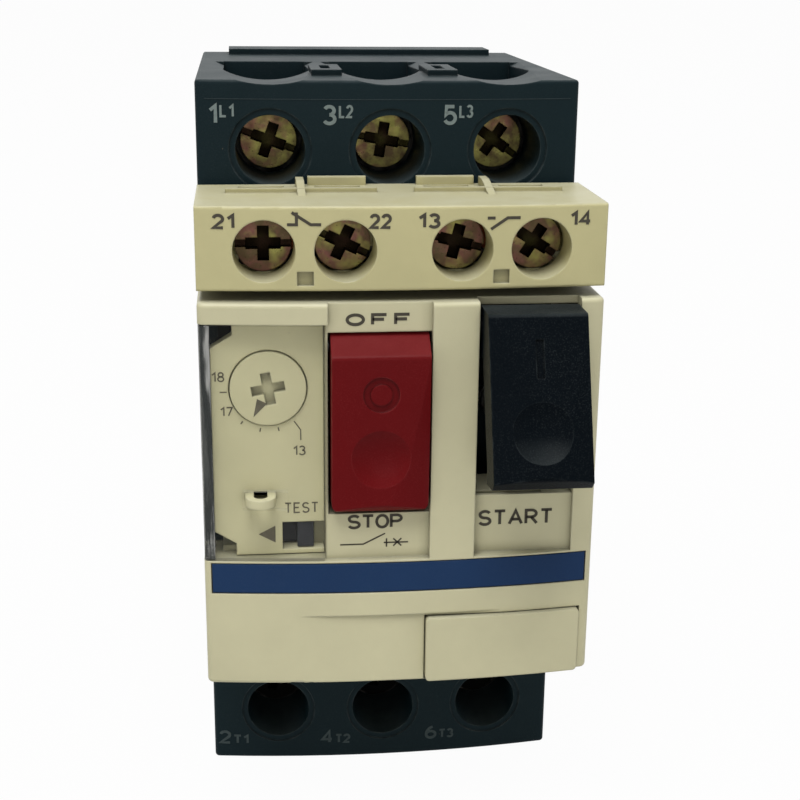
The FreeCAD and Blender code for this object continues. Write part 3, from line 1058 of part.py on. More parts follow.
def rocker(label, x, profile, pivot, dimple):
    """A rocker with a crowned front, a thumb dimple and a hub on its pivot pin."""
    piece = Piece(f"{label}_body")
    piece.pad("YZ", x, profile)
    tip = min(piece.body.Shape.Edges, key=lambda e: e.BoundBox.Center.y)
    fronts = [e for e in piece.body.Shape.Edges if e.BoundBox.XLength > 1 and e.BoundBox.Center.y < value(behind("0"))]
    spots = [e.BoundBox.Center for e in fronts + [tip]]
    piece.round("button_edge", lambda e: e.BoundBox.XLength > 1
                and any((e.BoundBox.Center - spot).Length < 0.01 for spot in spots))
    lowest = min(profile, key=lambda point: value(point[1]))[1]
    shaped = [piece.body, crown(label, x, profile[1], profile[0]), corner_prism(label, x, lowest)]
    face = doc.addObject("Part::MultiCommon", label + "_face")
    face.Shapes = shaped
    hub = rod(label + "_hub", "x", "hub_radius", x, pivot)
    bore = rod(label + "_bore", "x", "pin_radius + running_clearance", x, pivot)
    return fuse(label + "_blank", [face, hub]), [bore, ball(label + "_dimple", "dimple_radius", *dimple)]


def start_button():
    """Black rocker, out at rest, with the nub that pushes the carrier's rod."""
    x = (f"({START_LEFT} + button_gap)", f"({START_RIGHT} - button_gap)")
    crest = f"({START_PIVOT_Z} + start_top_rise)"
    top = (behind("-start_top_reach"), crest)
    tip = (behind("-start_tip_reach"), f"({START_PIVOT_Z} - start_tip_drop)")
    foot = f"({START_PIVOT_Z} - start_foot_drop)"
    profile = [top, tip, (behind("start_lip - start_tip_reach"), f"({START_PIVOT_Z} - start_tip_drop - start_lip)"),
               (behind("0"), foot), (behind("start_back"), foot),
               (behind("start_back"), START_PIVOT_Z), (START_PIVOT_Y, f"({START_PIVOT_Z} + hub_radius)"),
               (behind("start_notch_depth - start_crest_gap"), f"({START_PIVOT_Z} + hub_radius)"), (behind("0"), crest)]
    lean = "((start_tip_reach - start_top_reach)/(start_tip_drop + start_top_rise))"
    slant = f"sqrt(1 + {lean}^2)"
    lift = "(dimple_radius - dimple_sink)"
    dimple = (START_MIDDLE, f"({tip[0]} + start_dimple_rise*{lean} - {lift}/{slant})",
              f"({tip[1]} + start_dimple_rise + {lift}*{lean}/{slant})")
    blank, tools = rocker("start", x, profile, (START_PIVOT_Y, START_PIVOT_Z), dimple)
    nub = rod("start_nub", "x", "nub_radius", about(START_MIDDLE, "pusher_size"), (behind("nub_depth"), NUB_Z))
    sign = doc.addObject("Part::Box", "start_sign")
    bind(sign, "Length", "bar_width")
    bind(sign, "Width", "2*sign_depth")
    bind(sign, "Height", "bar_length")
    slope = math.atan(value(lean))
    down = Vector(0, -math.sin(slope), -math.cos(slope))
    start = Vector(value(START_MIDDLE), value(top[0]), value(top[1])) + down*value("bar_drop + bar_length")
    turn = Rotation(Vector(1, 0, 0), math.degrees(-slope))
    sign.Placement = FreeCAD.Placement(
        start + turn.multVec(Vector(-value("bar_width")/2, -value("sign_depth"), 0)), turn)
    # The cap is hollow on both sides of the web that carries the nub
    under_hub = f"({START_PIVOT_Z} - hub_radius - start_crest_gap)"
    inner = f"({tip[0]} + ({under_hub} - {tip[1]})*{lean} + start_shell)"
    hollow = [(f"({tip[0]} + start_shell)", LEDGE), (f"({tip[0]} + start_shell)", tip[1]), (inner, under_hub),
              (MID_FACE, under_hub), (MID_FACE, LEDGE)]
    for side in ((START_LEFT, f"({START_MIDDLE} - start_web/2)"), (f"({START_MIDDLE} + start_web/2)", START_RIGHT)):
        void = Piece("start_void")
        void.pad("YZ", side, hollow)
        tools.append(void.body)
    keep(cut("start_button", fuse("start_with_nub", [blank, nub]), tools + [sign]))


def stop_button():
    """Red rocker with the arm that trips the latch."""
    x = (f"({STOP_LEFT} + button_gap)", f"({STOP_RIGHT} - button_gap)")
    face = behind("-stop_reach")
    foot = f"({STOP_FLOOR} + stop_foot_gap)"
    profile = [(face, STOP_PIVOT_Z), (face, f"({foot} + stop_lip)"), (behind("stop_lip - stop_reach"), foot),
               (behind("stop_back"), foot), (behind("stop_back"), STOP_PIVOT_Z),
               (STOP_PIVOT_Y, f"({STOP_PIVOT_Z} + hub_radius)"), (behind("0"), f"({STOP_PIVOT_Z} + hub_radius)")]
    dimple = (STOP_MIDDLE, f"({face} - dimple_radius + dimple_sink)", f"({foot} + stop_dimple_rise)")
    blank, tools = rocker("stop", x, profile, (STOP_PIVOT_Y, STOP_PIVOT_Z), dimple)
    arm_z = run(foot, "stop_arm")
    reach = block("stop_reach", (f"{x[1]} - stop_arm", x[1]),
                  (behind("stop_back"), f"{LATCH_Y} - latch_arm_width/2 - touch_gap"), arm_z)
    arm = block("stop_arm", (f"{x[1]} - stop_arm", f"{LATCH_X} + latch_width/2"),
                (behind("frame_depth + touch_gap"), f"{LATCH_Y} - latch_arm_width/2 - touch_gap"), arm_z)
    sign = [rod("stop_sign", "y", radius, (FAR_FRONT, f"{face} + sign_depth"), (STOP_MIDDLE, f"({foot} + ring_rise)"))
            for radius in ("ring_outer", "ring_inner")]
    keep(cut("stop_button", fuse("stop_with_arm", [blank, reach, arm]), tools + [cut("stop_ring", sign[0], sign[1:])]))


def pivot_pins():
    """Steel pins of the two rockers, seated in the nose."""
    keep(rod("start_pivot_pin", "x", "pin_radius", (f"{START_LEFT} - pin_seat", f"{START_RIGHT} + pin_seat"),
             (START_PIVOT_Y, START_PIVOT_Z)))
    keep(rod("stop_pivot_pin", "x", "pin_radius", (f"{STOP_LEFT} - pin_seat", f"{STOP_RIGHT} + pin_seat"),
             (STOP_PIVOT_Y, STOP_PIVOT_Z)))


def button_springs():
    """Return springs between the middle wall and the backs of the rockers."""
    for label, x, back, foot in (("start_spring", START_MIDDLE, behind("start_back"), START_FLOOR),
                                 ("stop_spring", STOP_MIDDLE, behind("stop_back"), STOP_FLOOR)):
        keep(coil_spring(label, "y", "button_spring_radius", "button_spring_wire", 6,
                         (back, MID_FACE), (x, f"{foot} + button_spring_height + button_spring_radius")))


def latch():
    """Latch lever between two steel cheeks that stand on the middle wall."""
    inner = about(LATCH_X, "cheek_gap")
    z = about("latch_height", "cheek_height")
    y = (f"{MID_FACE} - cheek_depth", MID_FACE)
    left = block("cheek_left", (f"{inner[0]} - cheek_thickness", inner[0]), y, z)
    right = block("cheek_right", run(inner[1], "cheek_thickness"), y, z)
    base = block("cheek_base", inner, (f"{MID_FACE} - cheek_thickness", MID_FACE), z)
    span = (f"{inner[0]} - cheek_thickness", f"{inner[1]} + cheek_thickness")
    pivot = (LATCH_Y, "latch_height")
    hole = rod("latch_hole", "x", "pin_radius + running_clearance", span, pivot)
    slot_low = f"({STOP_FLOOR} + stop_foot_gap - touch_gap*3)"
    slot = block("arm_slot", (span[0], inner[0]), (y[0], f"{LATCH_Y} - latch_arm_width/2 + stop_arm*2"),
                 (slot_low, f"{slot_low} + stop_arm + touch_gap*6"))
    keep(cut("mechanism_frame", fuse("frame_blank", [left, right, base]), [hole, slot]))
    keep(rod("latch_pin", "x", "pin_radius", span, pivot))
    width = about(LATCH_X, "latch_width")
    hub = rod("latch_hub", "x", "latch_hub", width, pivot)
    arm = block("latch_arm", width, about(LATCH_Y, "latch_arm_width"), about("latch_height", "2*latch_arm"))
    bore = rod("latch_bore", "x", "pin_radius + running_clearance", width, pivot)
    keep(cut("latch_lever", fuse("latch_blank", [hub, arm]), [bore]))
    keep(coil_spring("latch_spring", "y", "latch_spring_radius", "latch_spring_wire", 4,
                     (f"{LATCH_Y} + latch_arm_width/2", f"{MID_FACE} - cheek_thickness"),
                     (LATCH_X, "latch_height + latch_spring_rise")))


# Auxiliary contact block

def aux_housing():
    """Cream body with screw wells in its bowed front, wire entries, ridges and tabs on its top."""
    piece = Piece("aux_housing")
    across = (minus(HALF), HALF)
    height = (AUX_LOW, AUX_HIGH)
    piece.pad("XY", height, bowed_outline(across, AUX_FRONT, "aux_bow", AUX_CAVITY_BACK))
    front = value(f"{AUX_FRONT} - aux_bow")
    piece.round("aux_edge", lambda e: e.BoundBox.ZLength < 0.01 and abs(e.BoundBox.YMin - front) < 0.05
                and e.BoundBox.XLength > value(HALF))
    piece.pocket("XZ", (AUX_CAVITY_FRONT, AUX_CAVITY_BACK), box_outline(
        (f"-{HALF} + aux_wall", f"{HALF} - aux_wall"), (AUX_FLOOR, f"{AUX_HIGH} - aux_wall")))
    entry_y = run(behind("aux_entry_setback"), "aux_entry_length")
    for x in AUX_SCREW_X:
        piece.pocket("XZ", (FAR_FRONT, AUX_CAVITY_FRONT), Round(x, AUX_SCREW_Z, "aux_well_dia/2"))
        piece.pocket("XY", (f"{AUX_HIGH} - aux_wall", AUX_HIGH), box_outline(about(x, "aux_entry_width"), entry_y))
    ridge_y = (f"{entry_y[0]} - aux_ridge_width", entry_y[0])
    for side in (1, -1):
        limits = sorted((f"{side}*aux_ridge_inner", f"{side}*aux_ridge_outer"), key=value)
        piece.pad("XY", run(AUX_HIGH, "aux_ridge_height"), box_outline(limits, ridge_y))
        notch_x = about(f"{side}*aux_notch_x", "aux_notch_width")
        piece.pocket("XZ", (FAR_FRONT, f"{AUX_FRONT} + aux_notch_depth - aux_bow"), box_outline(
            notch_x, run(f"{AUX_LOW} + aux_notch_rise", "aux_notch_height")))
        gusset_x = about(f"{side}*aux_notch_x", "aux_gusset")
        piece.pad("YZ", gusset_x, [
            (f"{ridge_y[0]} - aux_gusset_length/2", f"{AUX_HIGH} - seat_gap"), (AUX_CAVITY_BACK, f"{AUX_HIGH} - seat_gap"),
            (AUX_CAVITY_BACK, f"{AUX_HIGH} + aux_tab_height"),
            (f"{AUX_CAVITY_BACK} - aux_gusset_length/2", f"{AUX_HIGH} + aux_tab_height")])
    keep(piece)


def aux_rear_cover():
    """Rear plate with the lugs that hook into the housing and the tabs that stand up behind the entries."""
    plate = block("aux_plate", (minus(HALF), HALF), (AUX_CAVITY_BACK, AUX_BACK), (AUX_LOW, AUX_HIGH))
    parts = [plate]
    for side in (1, -1):
        parts.append(block("aux_tab", about(f"{side}*aux_inner_x", "aux_tab_width"),
                           (AUX_CAVITY_BACK, f"{AUX_CAVITY_BACK} + aux_tab_thickness"),
                           (AUX_LOW, f"{AUX_HIGH} + aux_tab_height")))
        parts.append(block("aux_lug", about(f"{side}*aux_lug_x", "aux_lug_width"),
                           (AUX_CAVITY_BACK, f"{AUX_BACK} + aux_lug_length"), run(AUX_FLOOR, "aux_lug_height")))
    hole = block("stub_hole", about(PRONG_X, "aux_stub_width + 2*slide_clearance"), (AUX_CAVITY_BACK, AUX_BACK),
                 grown(PRONG_Z, "slide_clearance"))
    keep(cut("aux_rear_cover", fuse("aux_cover_blank", parts), [hole]))


def aux_terminals():
    """Screws, saddles and terminal plates; the left pair breaks and the right pair makes."""
    head_y = f"({AUX_FRONT} + aux_head_recess)"
    saddle_y = run(f"{head_y} + aux_head_height", "aux_saddle_thickness")
    screws, saddles, plates = [], [], []
    for number, (x, turn) in enumerate(zip(AUX_SCREW_X, AUX_SCREW_TURNS)):
        plane = behind("aux_break_setback" if number < 2 else "aux_make_setback")
        length = f"({plane} + aux_plate_thickness*1.5 - {head_y} - aux_head_height)"
        screws.append(terminal_screw("aux_screw", x, AUX_SCREW_Z, head_y, "aux_head_dia", "aux_head_height",
                                     "aux_shank_dia", length, turn))
        plate = block("aux_saddle_plate", about(x, "aux_saddle_size"), saddle_y, about(AUX_SCREW_Z, "aux_saddle_size"))
        hole = rod("aux_saddle_hole", "y", "aux_shank_dia/2 + running_clearance", saddle_y, (x, AUX_SCREW_Z))
        saddles.append(cut("aux_saddle", plate, [hole]))
        inward = 1 if number in (0, 2) else -1
        bridge_edge = f"({aux_bridge_middle(number)} - {inward}*aux_notch_x*0.12)"
        outer_edge = f"({x} - {inward}*aux_saddle_size/2)"
        limits = sorted((outer_edge, bridge_edge), key=value)
        plate_y = run(plane, "aux_plate_thickness")
        plate_z = run(f"{AUX_LOW} + aux_plate_rise", "aux_plate_height")
        blank = block("aux_contact_plate", limits, plate_y, plate_z)
        hole = rod("aux_plate_hole", "y", "aux_shank_dia/2 + running_clearance", plate_y, (x, AUX_SCREW_Z))
        plates.append(cut("aux_plate", blank, [hole]))
    keep(group("aux_terminal_screws", screws))
    keep(group("aux_clamp_plates", saddles))
    keep(group("aux_terminal_plates", plates))


def aux_bridge_middle(number):
    """X of the middle between the two screws of a pair."""
    return "((-aux_outer_x - aux_inner_x)/2)" if number < 2 else "((aux_outer_x + aux_inner_x)/2)"


def aux_slider():
    """Slide that carries the two bridges, its stub towards the carrier's prong, and its spring."""
    bar_y = run(behind("aux_bar_setback"), "aux_bar_depth")
    bar_z = (PRONG_Z[0], f"{PRONG_Z[0]} + aux_bar_height")
    wide = "(aux_outer_x - aux_shank_dia/2)"
    bar = block("aux_bar", (minus(wide), wide), bar_y, bar_z)
    stub = block("aux_stub", about(PRONG_X, "aux_stub_width"), (bar_y[0], f"{AUX_BACK} + aux_stub_reach"), PRONG_Z)
    break_y = run(behind("aux_break_setback + aux_plate_thickness + seat_gap"), "aux_plate_thickness")
    make_back = behind("aux_make_setback - contact_gap")
    make_y = (f"{make_back} - aux_plate_thickness", make_back)
    grooves, bridges = [], []
    for number, y in ((0, break_y), (2, make_y)):
        half = "((aux_outer_x - aux_inner_x - aux_shank_dia)/2 - slide_clearance)"
        x = about(aux_bridge_middle(number), f"2*{half}")
        z = (f"{bar_z[1]} - aux_groove", f"{bar_z[1]} - aux_groove + aux_bridge_height")
        bridges.append(block("aux_bridge", x, y, z))
        grooves.append(block("aux_groove", grown(x, "seat_gap"), grown(y, "seat_gap"), z))
    keep(cut("aux_slider", fuse("aux_slider_blank", [bar, stub]), grooves))
    keep(group("aux_contact_bridges", bridges))
    keep(coil_spring("aux_spring", "y", "aux_spring_radius", "aux_spring_wire", 5, (AUX_CAVITY_FRONT, bar_y[0]),
                     ("0", f"({bar_z[0]} + {bar_z[1]})/2")))


def check_and_write():
    """See that every object came out whole, then write each sub-part to its own file."""
    doc.recompute()
    for item in doc.Objects:
        if {"Invalid", "Error"} & set(item.State):
            raise RuntimeError(f"{item.Label}: {item.State}")
    os.makedirs("parts", exist_ok=True)
    for item in nodes:
        shape = item.Shape
        if shape.isNull() or not shape.isValid() or not shape.Solids:
            raise RuntimeError(f"{item.Label}: no valid solid")
        shape.exportStep(f"parts/{item.Label}.step")


for make in (rear_base, front_housing, housing_rivets, rail_clip, power_terminals, contact_strips, moving_contacts,
             arc_chutes, magnetic_trips, thermal_trips, front_cover, apron_inserts, setting_panel, setting_dial,
             clear_cover, hinge_liner, test_slider, start_button, stop_button, pivot_pins, button_springs, latch, aux_housing,
             aux_rear_cover, aux_terminals, aux_slider):
    make()
check_and_write()
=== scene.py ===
"""Looks of a rail-mounted motor protection switch, dressed on its CAD frame."""
import json

import bmesh
import bpy
import numpy as np
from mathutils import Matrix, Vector


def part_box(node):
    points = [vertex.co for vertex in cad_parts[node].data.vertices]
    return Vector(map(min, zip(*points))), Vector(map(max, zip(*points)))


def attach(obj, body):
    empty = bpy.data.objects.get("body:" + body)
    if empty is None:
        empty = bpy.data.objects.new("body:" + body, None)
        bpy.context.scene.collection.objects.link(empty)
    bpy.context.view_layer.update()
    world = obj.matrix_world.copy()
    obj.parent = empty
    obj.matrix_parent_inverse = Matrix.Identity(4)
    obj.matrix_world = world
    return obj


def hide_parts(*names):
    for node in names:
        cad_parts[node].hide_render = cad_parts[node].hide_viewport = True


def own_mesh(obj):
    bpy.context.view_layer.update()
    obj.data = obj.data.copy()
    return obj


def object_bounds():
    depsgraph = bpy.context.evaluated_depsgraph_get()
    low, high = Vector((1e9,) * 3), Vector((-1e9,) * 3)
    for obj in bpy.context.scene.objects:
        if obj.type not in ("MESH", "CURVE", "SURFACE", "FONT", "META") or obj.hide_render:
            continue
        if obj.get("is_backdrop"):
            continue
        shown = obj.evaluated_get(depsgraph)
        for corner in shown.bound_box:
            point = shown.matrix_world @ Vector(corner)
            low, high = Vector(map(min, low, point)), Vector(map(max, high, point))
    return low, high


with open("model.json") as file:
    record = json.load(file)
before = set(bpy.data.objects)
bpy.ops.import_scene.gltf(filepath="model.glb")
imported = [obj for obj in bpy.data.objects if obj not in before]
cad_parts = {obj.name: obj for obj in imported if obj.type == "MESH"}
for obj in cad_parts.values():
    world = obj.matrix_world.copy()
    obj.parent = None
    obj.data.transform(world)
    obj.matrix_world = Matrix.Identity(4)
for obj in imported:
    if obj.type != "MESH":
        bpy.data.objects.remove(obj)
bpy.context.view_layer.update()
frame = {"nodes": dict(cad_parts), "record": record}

bl_info = {
    "name": "Motor Protection Switch",
    "version": (1, 0, 0),
    "blender": (4, 5, 0),
    "location": "View3D > Sidebar > Switch",
    "description": "Finishes, markings and studio of a motor protection switch",
    "category": "Object",
}

MM = 0.001
HALF_WIDTH = 22.25
DIAL_MIDDLE = (-14.77, 12.6)
HINGE_EDGE = -21.0
BUTTON_WIRE = 0.3
CLIP_WIRE = 0.2
TURN_STEPS = 36
WIRE_SIDES = 10
END_FLATNESS = 0.8
GUARD_ROWS = 15
GUARD_COLUMNS = 13
GUARD_SETBACK = 0.9
GUARD_HALF_WIDTH = 3.6
# How far forward and outward the root, bend and tip of a wire guard lie from its saddle's edge
GUARD_RUN = ((0.0, 0.03), (0.1, 0.9), (0.5, 1.7))
# Reaches of the painted shade in a piece's hollows and in gaps between neighbouring parts
SHADE_REACH = 1.4*MM
GAP_SHADE_REACH = 2.2*MM
GRAIN_HEIGHT = 0.08*MM
METAL_EDGE = 0.12*MM
# Reach of the painted shade in hollows of the metal
METAL_SHADE_REACH = 1.6*MM
METAL_GRAIN = 0.05*MM
SENSOR_WIDTH = 36.0
LAMP_AIM = (0.0, -0.05, 0.0)
FLOOR_REACH = 4.0
FLOOR_STEPS = 5
FLOOR_WHITENESS = 0.97
WHITE = (1.0, 1.0, 1.0, 1.0)


# Sizes and colours that a user would change

def length(label, words, millimetres):
    """A length property, given in millimetres and kept in metres."""
    return bpy.props.FloatProperty(
        name=label, description=words, default=millimetres*MM, unit="LENGTH", precision=5)


def shade(label, words, red, green, blue):
    """A colour property from screen values of 0 to 255, kept as linear light."""
    screen = np.array([red, green, blue])/255
    linear = np.where(screen < 0.04045, screen/12.92, ((screen + 0.055)/1.055)**2.4)
    return bpy.props.FloatVectorProperty(
        name=label, description=words, subtype="COLOR", size=3, min=0, max=1, default=tuple(linear))


class SwitchSizes(bpy.types.PropertyGroup):
    """Lengths of the markings and the surfaces that carry them."""
    ink_lift: length("Ink lift", "How far the markings stand off their surface", 0.02)
    ink_thickness: length("Ink thickness", "Thickness of the printed markings", 0.02)
    terminal_bow: length("Terminal bow", "How far the terminal fronts bow out", 1.5)
    aux_plane: length("Auxiliary plane", "Y of the auxiliary block's front at its side edges", -58.3)
    aux_bow: length("Auxiliary bow", "How far the auxiliary front bows out", 1.0)
    line_plane: length("Line terminal plane", "Y of the upper terminal front at its side edges", -42.0)
    load_plane: length("Load terminal plane", "Y of the lower terminal front at its side edges", -38.3)
    panel_plane: length("Panel plane", "Y of the setting panel's face", -57.8)
    dial_plane: length("Dial plane", "Y of the setting dial's face", -58.1)
    stop_field: length("STOP field", "Y of the flat field round the STOP rocker", -59.5)
    start_field: length("START field", "Y of the flat field under the START rocker", -58.74)
    guard_thickness: length("Guard thickness", "Thickness of the wire guards on the saddles", 0.6)
    edge_softness: length("Edge softness", "Radius that the plastic's edges look rounded by", 0.25)


class SwitchColours(bpy.types.PropertyGroup):
    """Colours of the plastics, metals and inks."""
    cream: shade("Cream", "Nose and marker plate", 194, 189, 155)
    aged_cream: shade("Aged cream", "Yellower cream of the auxiliary block", 184, 177, 132)
    # Pale cream is also painted as a highlight on cream edges and as a sheen on cream tops
    pale_cream: shade("Pale cream", "Rubbed edges of the cream plastic", 212, 212, 192)
    panel: shade("Panel", "Setting panel and dial", 197, 192, 156)
    slate: shade("Slate", "Terminal housing", 17, 31, 35)
    # Besides real wear and dirt, this tone paints highlights on edges, a sheen on tops and glints of the
    # darker plastics
    dust_and_sheen: shade("Dust", "Dust and rubbed edges on dark plastic", 132, 142, 142)
    spot: shade("Spots", "Scattered spots of dirt", 96, 92, 80)
    red: shade("Red", "STOP rocker", 94, 6, 10)
    # Besides real wear, this tone paints highlights on the STOP rocker's edges, a sheen on its top and its
    # glints
    pale_red: shade("Pale red", "Rubbed edges of the STOP rocker", 158, 66, 66)
    black: shade("Black", "START rocker", 3, 8, 13)
    grey: shade("Grey", "TEST slide", 50, 51, 56)
    blue: shade("Blue", "Label strip", 23, 49, 84)
    inner: shade("Inner plastic", "Carrier and slides", 70, 70, 72)
    zinc: shade("Yellow zinc", "Terminal screws", 74, 62, 44)
    rose: shade("Rose tint", "Pink patches of the screws' plating", 98, 66, 58)
    olive: shade("Olive tint", "Green patches of the screws' plating", 116, 112, 62)
    # Painted shade: the load screws get this near-black because they lie in the shade of their deep wells;
    # it also tints the dull steel
    shaded: shade("Dark plating", "Load terminal screws deep in their wells", 12, 12, 11)
    dull: shade("Dull steel", "Saddles under the terminal screws", 52, 51, 47)
    steel: shade("Steel", "Pins, plates and saddles", 168, 168, 166)
    wire: shade("Wire", "Springs", 140, 140, 142)
    copper: shade("Copper", "Contact strips", 190, 122, 84)
    silver: shade("Silver", "Contact tips", 220, 218, 210)
    fibre: shade("Fibre", "Arc chute cheeks", 158, 134, 102)
    winding: shade("Winding", "Coils and heaters", 136, 72, 38)
    ink: shade("Ink", "Words on cream", 64, 60, 52)
    thin_ink: shade("Thin ink", "Scale on the setting panel", 92, 87, 74)
    pale_ink: shade("Pale ink", "Marks of the line terminals", 118, 130, 128)
    # Painted highlight: the load terminal marks are raised letters in the housing's own plastic, painted
    # lighter for the light they catch
    relief_highlight: shade("Dim ink", "Marks of the load terminals", 62, 73, 74)
    seam: shade("Seam", "Moulding line on the dark housing", 44, 55, 58)
    floor: shade("Floor", "Pale floor", 196, 196, 194)


class SwitchStudio(bpy.types.PropertyGroup):
    """Camera and lights."""
    camera_place: bpy.props.FloatVectorProperty(
        name="Camera place", description="Where the camera stands", subtype="TRANSLATION", unit="LENGTH",
        default=(-0.01727, -0.21064, 0.05842))
    camera_turn: bpy.props.FloatVectorProperty(
        name="Camera turn", description="How the camera is turned", subtype="EULER", unit="ROTATION",
        default=tuple(np.radians((72.830, -0.604, -6.199))))
    focal_length: bpy.props.FloatProperty(
        name="Focal length", description="Lens of the camera on a 36 mm wide sensor, in millimetres",
        default=65.12)
    daylight: bpy.props.FloatProperty(
        name="Daylight", description="Strength of the light that comes from all round", default=0.36)
    key_watts: bpy.props.FloatProperty(
        name="Key light", description="Power of the soft light above the front, in watts", default=14.5)
    front_watts: bpy.props.FloatProperty(
        name="Front light", description="Power of the soft light low in front, in watts", default=1.1)
    side_watts: bpy.props.FloatProperty(
        name="Side lights", description="Power of each soft light at the sides, in watts", default=0.3)


# Shader expressions

class Value:
    """A socket of a node tree. Sums on it add Math nodes to the tree."""

    def __init__(self, finish, socket):
        self.finish = finish
        self.socket = socket

    def math(self, operation, *others):
        """A Math node with this value as its first input."""
        inputs = dict(enumerate((self,) + others))
        return self.finish.node("ShaderNodeMath", {"operation": operation}, inputs)

    def __add__(self, other):
        return self.math("ADD", other)

    def __mul__(self, other):
        return self.math("MULTIPLY", other)

    def __sub__(self, other):
        return self.math("SUBTRACT", other)

    def __rsub__(self, other):
        return self.finish.node("ShaderNodeMath", {"operation": "SUBTRACT"}, {0: other, 1: self})

    __radd__ = __add__
    __rmul__ = __mul__

    def under(self, limit):
        """One where the value lies under a limit, and nought elsewhere."""
        return self.math("LESS_THAN", limit)

    def larger(self, other):
        """The larger of two values."""
        return self.math("MAXIMUM", other)

    def spread(self, low, high, first=0.0, last=1.0):
        """The value between two limits mapped to a new range and held there."""
        return self.finish.node("ShaderNodeMapRange", {"clamp": True}, {
            "Value": self, "From Min": low, "From Max": high, "To Min": first, "To Max": last})


class Finish:
    """The node tree of one material or of the world."""

    def __init__(self, owner):
        owner.use_nodes = True
        self.owner = owner
        self.tree = owner.node_tree
        self.tree.nodes.clear()
        self.place = self.node("ShaderNodeTexCoord", output="Object")

    def node(self, kind, settings=None, inputs=None, output=0):
        """Add a node: its settings first, then the values or links of its sockets."""
        node = self.tree.nodes.new(kind)
        for name, setting in (settings or {}).items():
            setattr(node, name, setting)
        for name, given in (inputs or {}).items():
            if isinstance(given, Value):
                self.tree.links.new(given.socket, node.inputs[name])
            else:
                node.inputs[name].default_value = given
        return Value(self, node.outputs[output]) if node.outputs else None

    def noise(self, scale, detail=2.0, roughness=0.5, place=None):
        """Smooth noise over the object, from nought to one."""
        return self.node("ShaderNodeTexNoise", {}, {
            "Vector": place or self.place, "Scale": scale, "Detail": detail, "Roughness": roughness}, "Fac")

    def cells(self, scale, output="Distance"):
        """Distance to the nearest of scattered points, or that point's random colour."""
        return self.node("ShaderNodeTexVoronoi", {}, {"Vector": self.place, "Scale": scale}, output)

    def stretched(self, x, y, z):
        """The place on the object with each direction stretched by a factor."""
        return self.node("ShaderNodeMapping", {}, {"Vector": self.place, "Scale": (x, y, z)})

    def blend(self, factor, first, second):
        """Two colours mixed by a factor."""
        return self.node("ShaderNodeMix", {"data_type": "RGBA"}, {"Factor": factor, 6: first, 7: second}, 2)

    def specks(self, scale, size, share):
        """Scattered specks: small discs round a share of the scattered points."""
        chosen = self.node("ShaderNodeSeparateColor", {}, {0: self.cells(scale, "Color")}).under(share)
        return self.cells(scale).under(size)*chosen

    def soft_normal(self, radius):
        """The surface's direction with its edges rounded over a radius."""
        return self.node("ShaderNodeBevel", {"samples": 6}, {"Radius": radius})

    def edges(self, rounded):
        """One along sharp edges, where the rounded direction leaves the face's own."""
        face = self.node("ShaderNodeNewGeometry", output="Normal")
        along = self.node("ShaderNodeVectorMath", {"operation": "DOT_PRODUCT"},
                          {0: rounded, 1: face}, "Value")
        return (1 - along).spread(0.005, 0.12)

    def hollows(self, reach, alone=True):
        """Nought on open faces, and one deep in hollows, of the piece alone or with its neighbours."""
        return 1 - self.node("ShaderNodeAmbientOcclusion", {"samples": 4, "only_local": alone},
                             {"Distance": reach}, "AO")

    def upward(self):
        """One on faces that look up, and nought on upright ones; it places settled dirt and a painted sheen
        on tops.
        """
        direction = self.node("ShaderNodeTexCoord", output="Normal")
        return self.node("ShaderNodeSeparateXYZ", {}, {0: direction}, "Z").spread(0.42, 0.95)

    def bump(self, height, strength, distance, normal):
        """A bump of the surface by a height."""
        return self.node("ShaderNodeBump", {}, {
            "Height": height, "Strength": strength, "Distance": distance, "Normal": normal})

    def surface(self, inputs):
        """End the tree with a principled surface, and give the material."""
        return self.end(self.node("ShaderNodeBsdfPrincipled", {}, inputs))

    def end(self, shader, kind="ShaderNodeOutputMaterial"):
        """Link a shader to the tree's output, and give the tree's owner."""
        self.node(kind, {}, {"Surface": shader})
        return self.owner


def new_finish(name):
    """An empty material."""
    return Finish(bpy.data.materials.new(name))


def opaque(colour, factor=1.0):
    """A colour with full alpha, lightened or darkened by a factor."""
    return tuple(min(1.0, part*factor) for part in colour) + (1.0,)


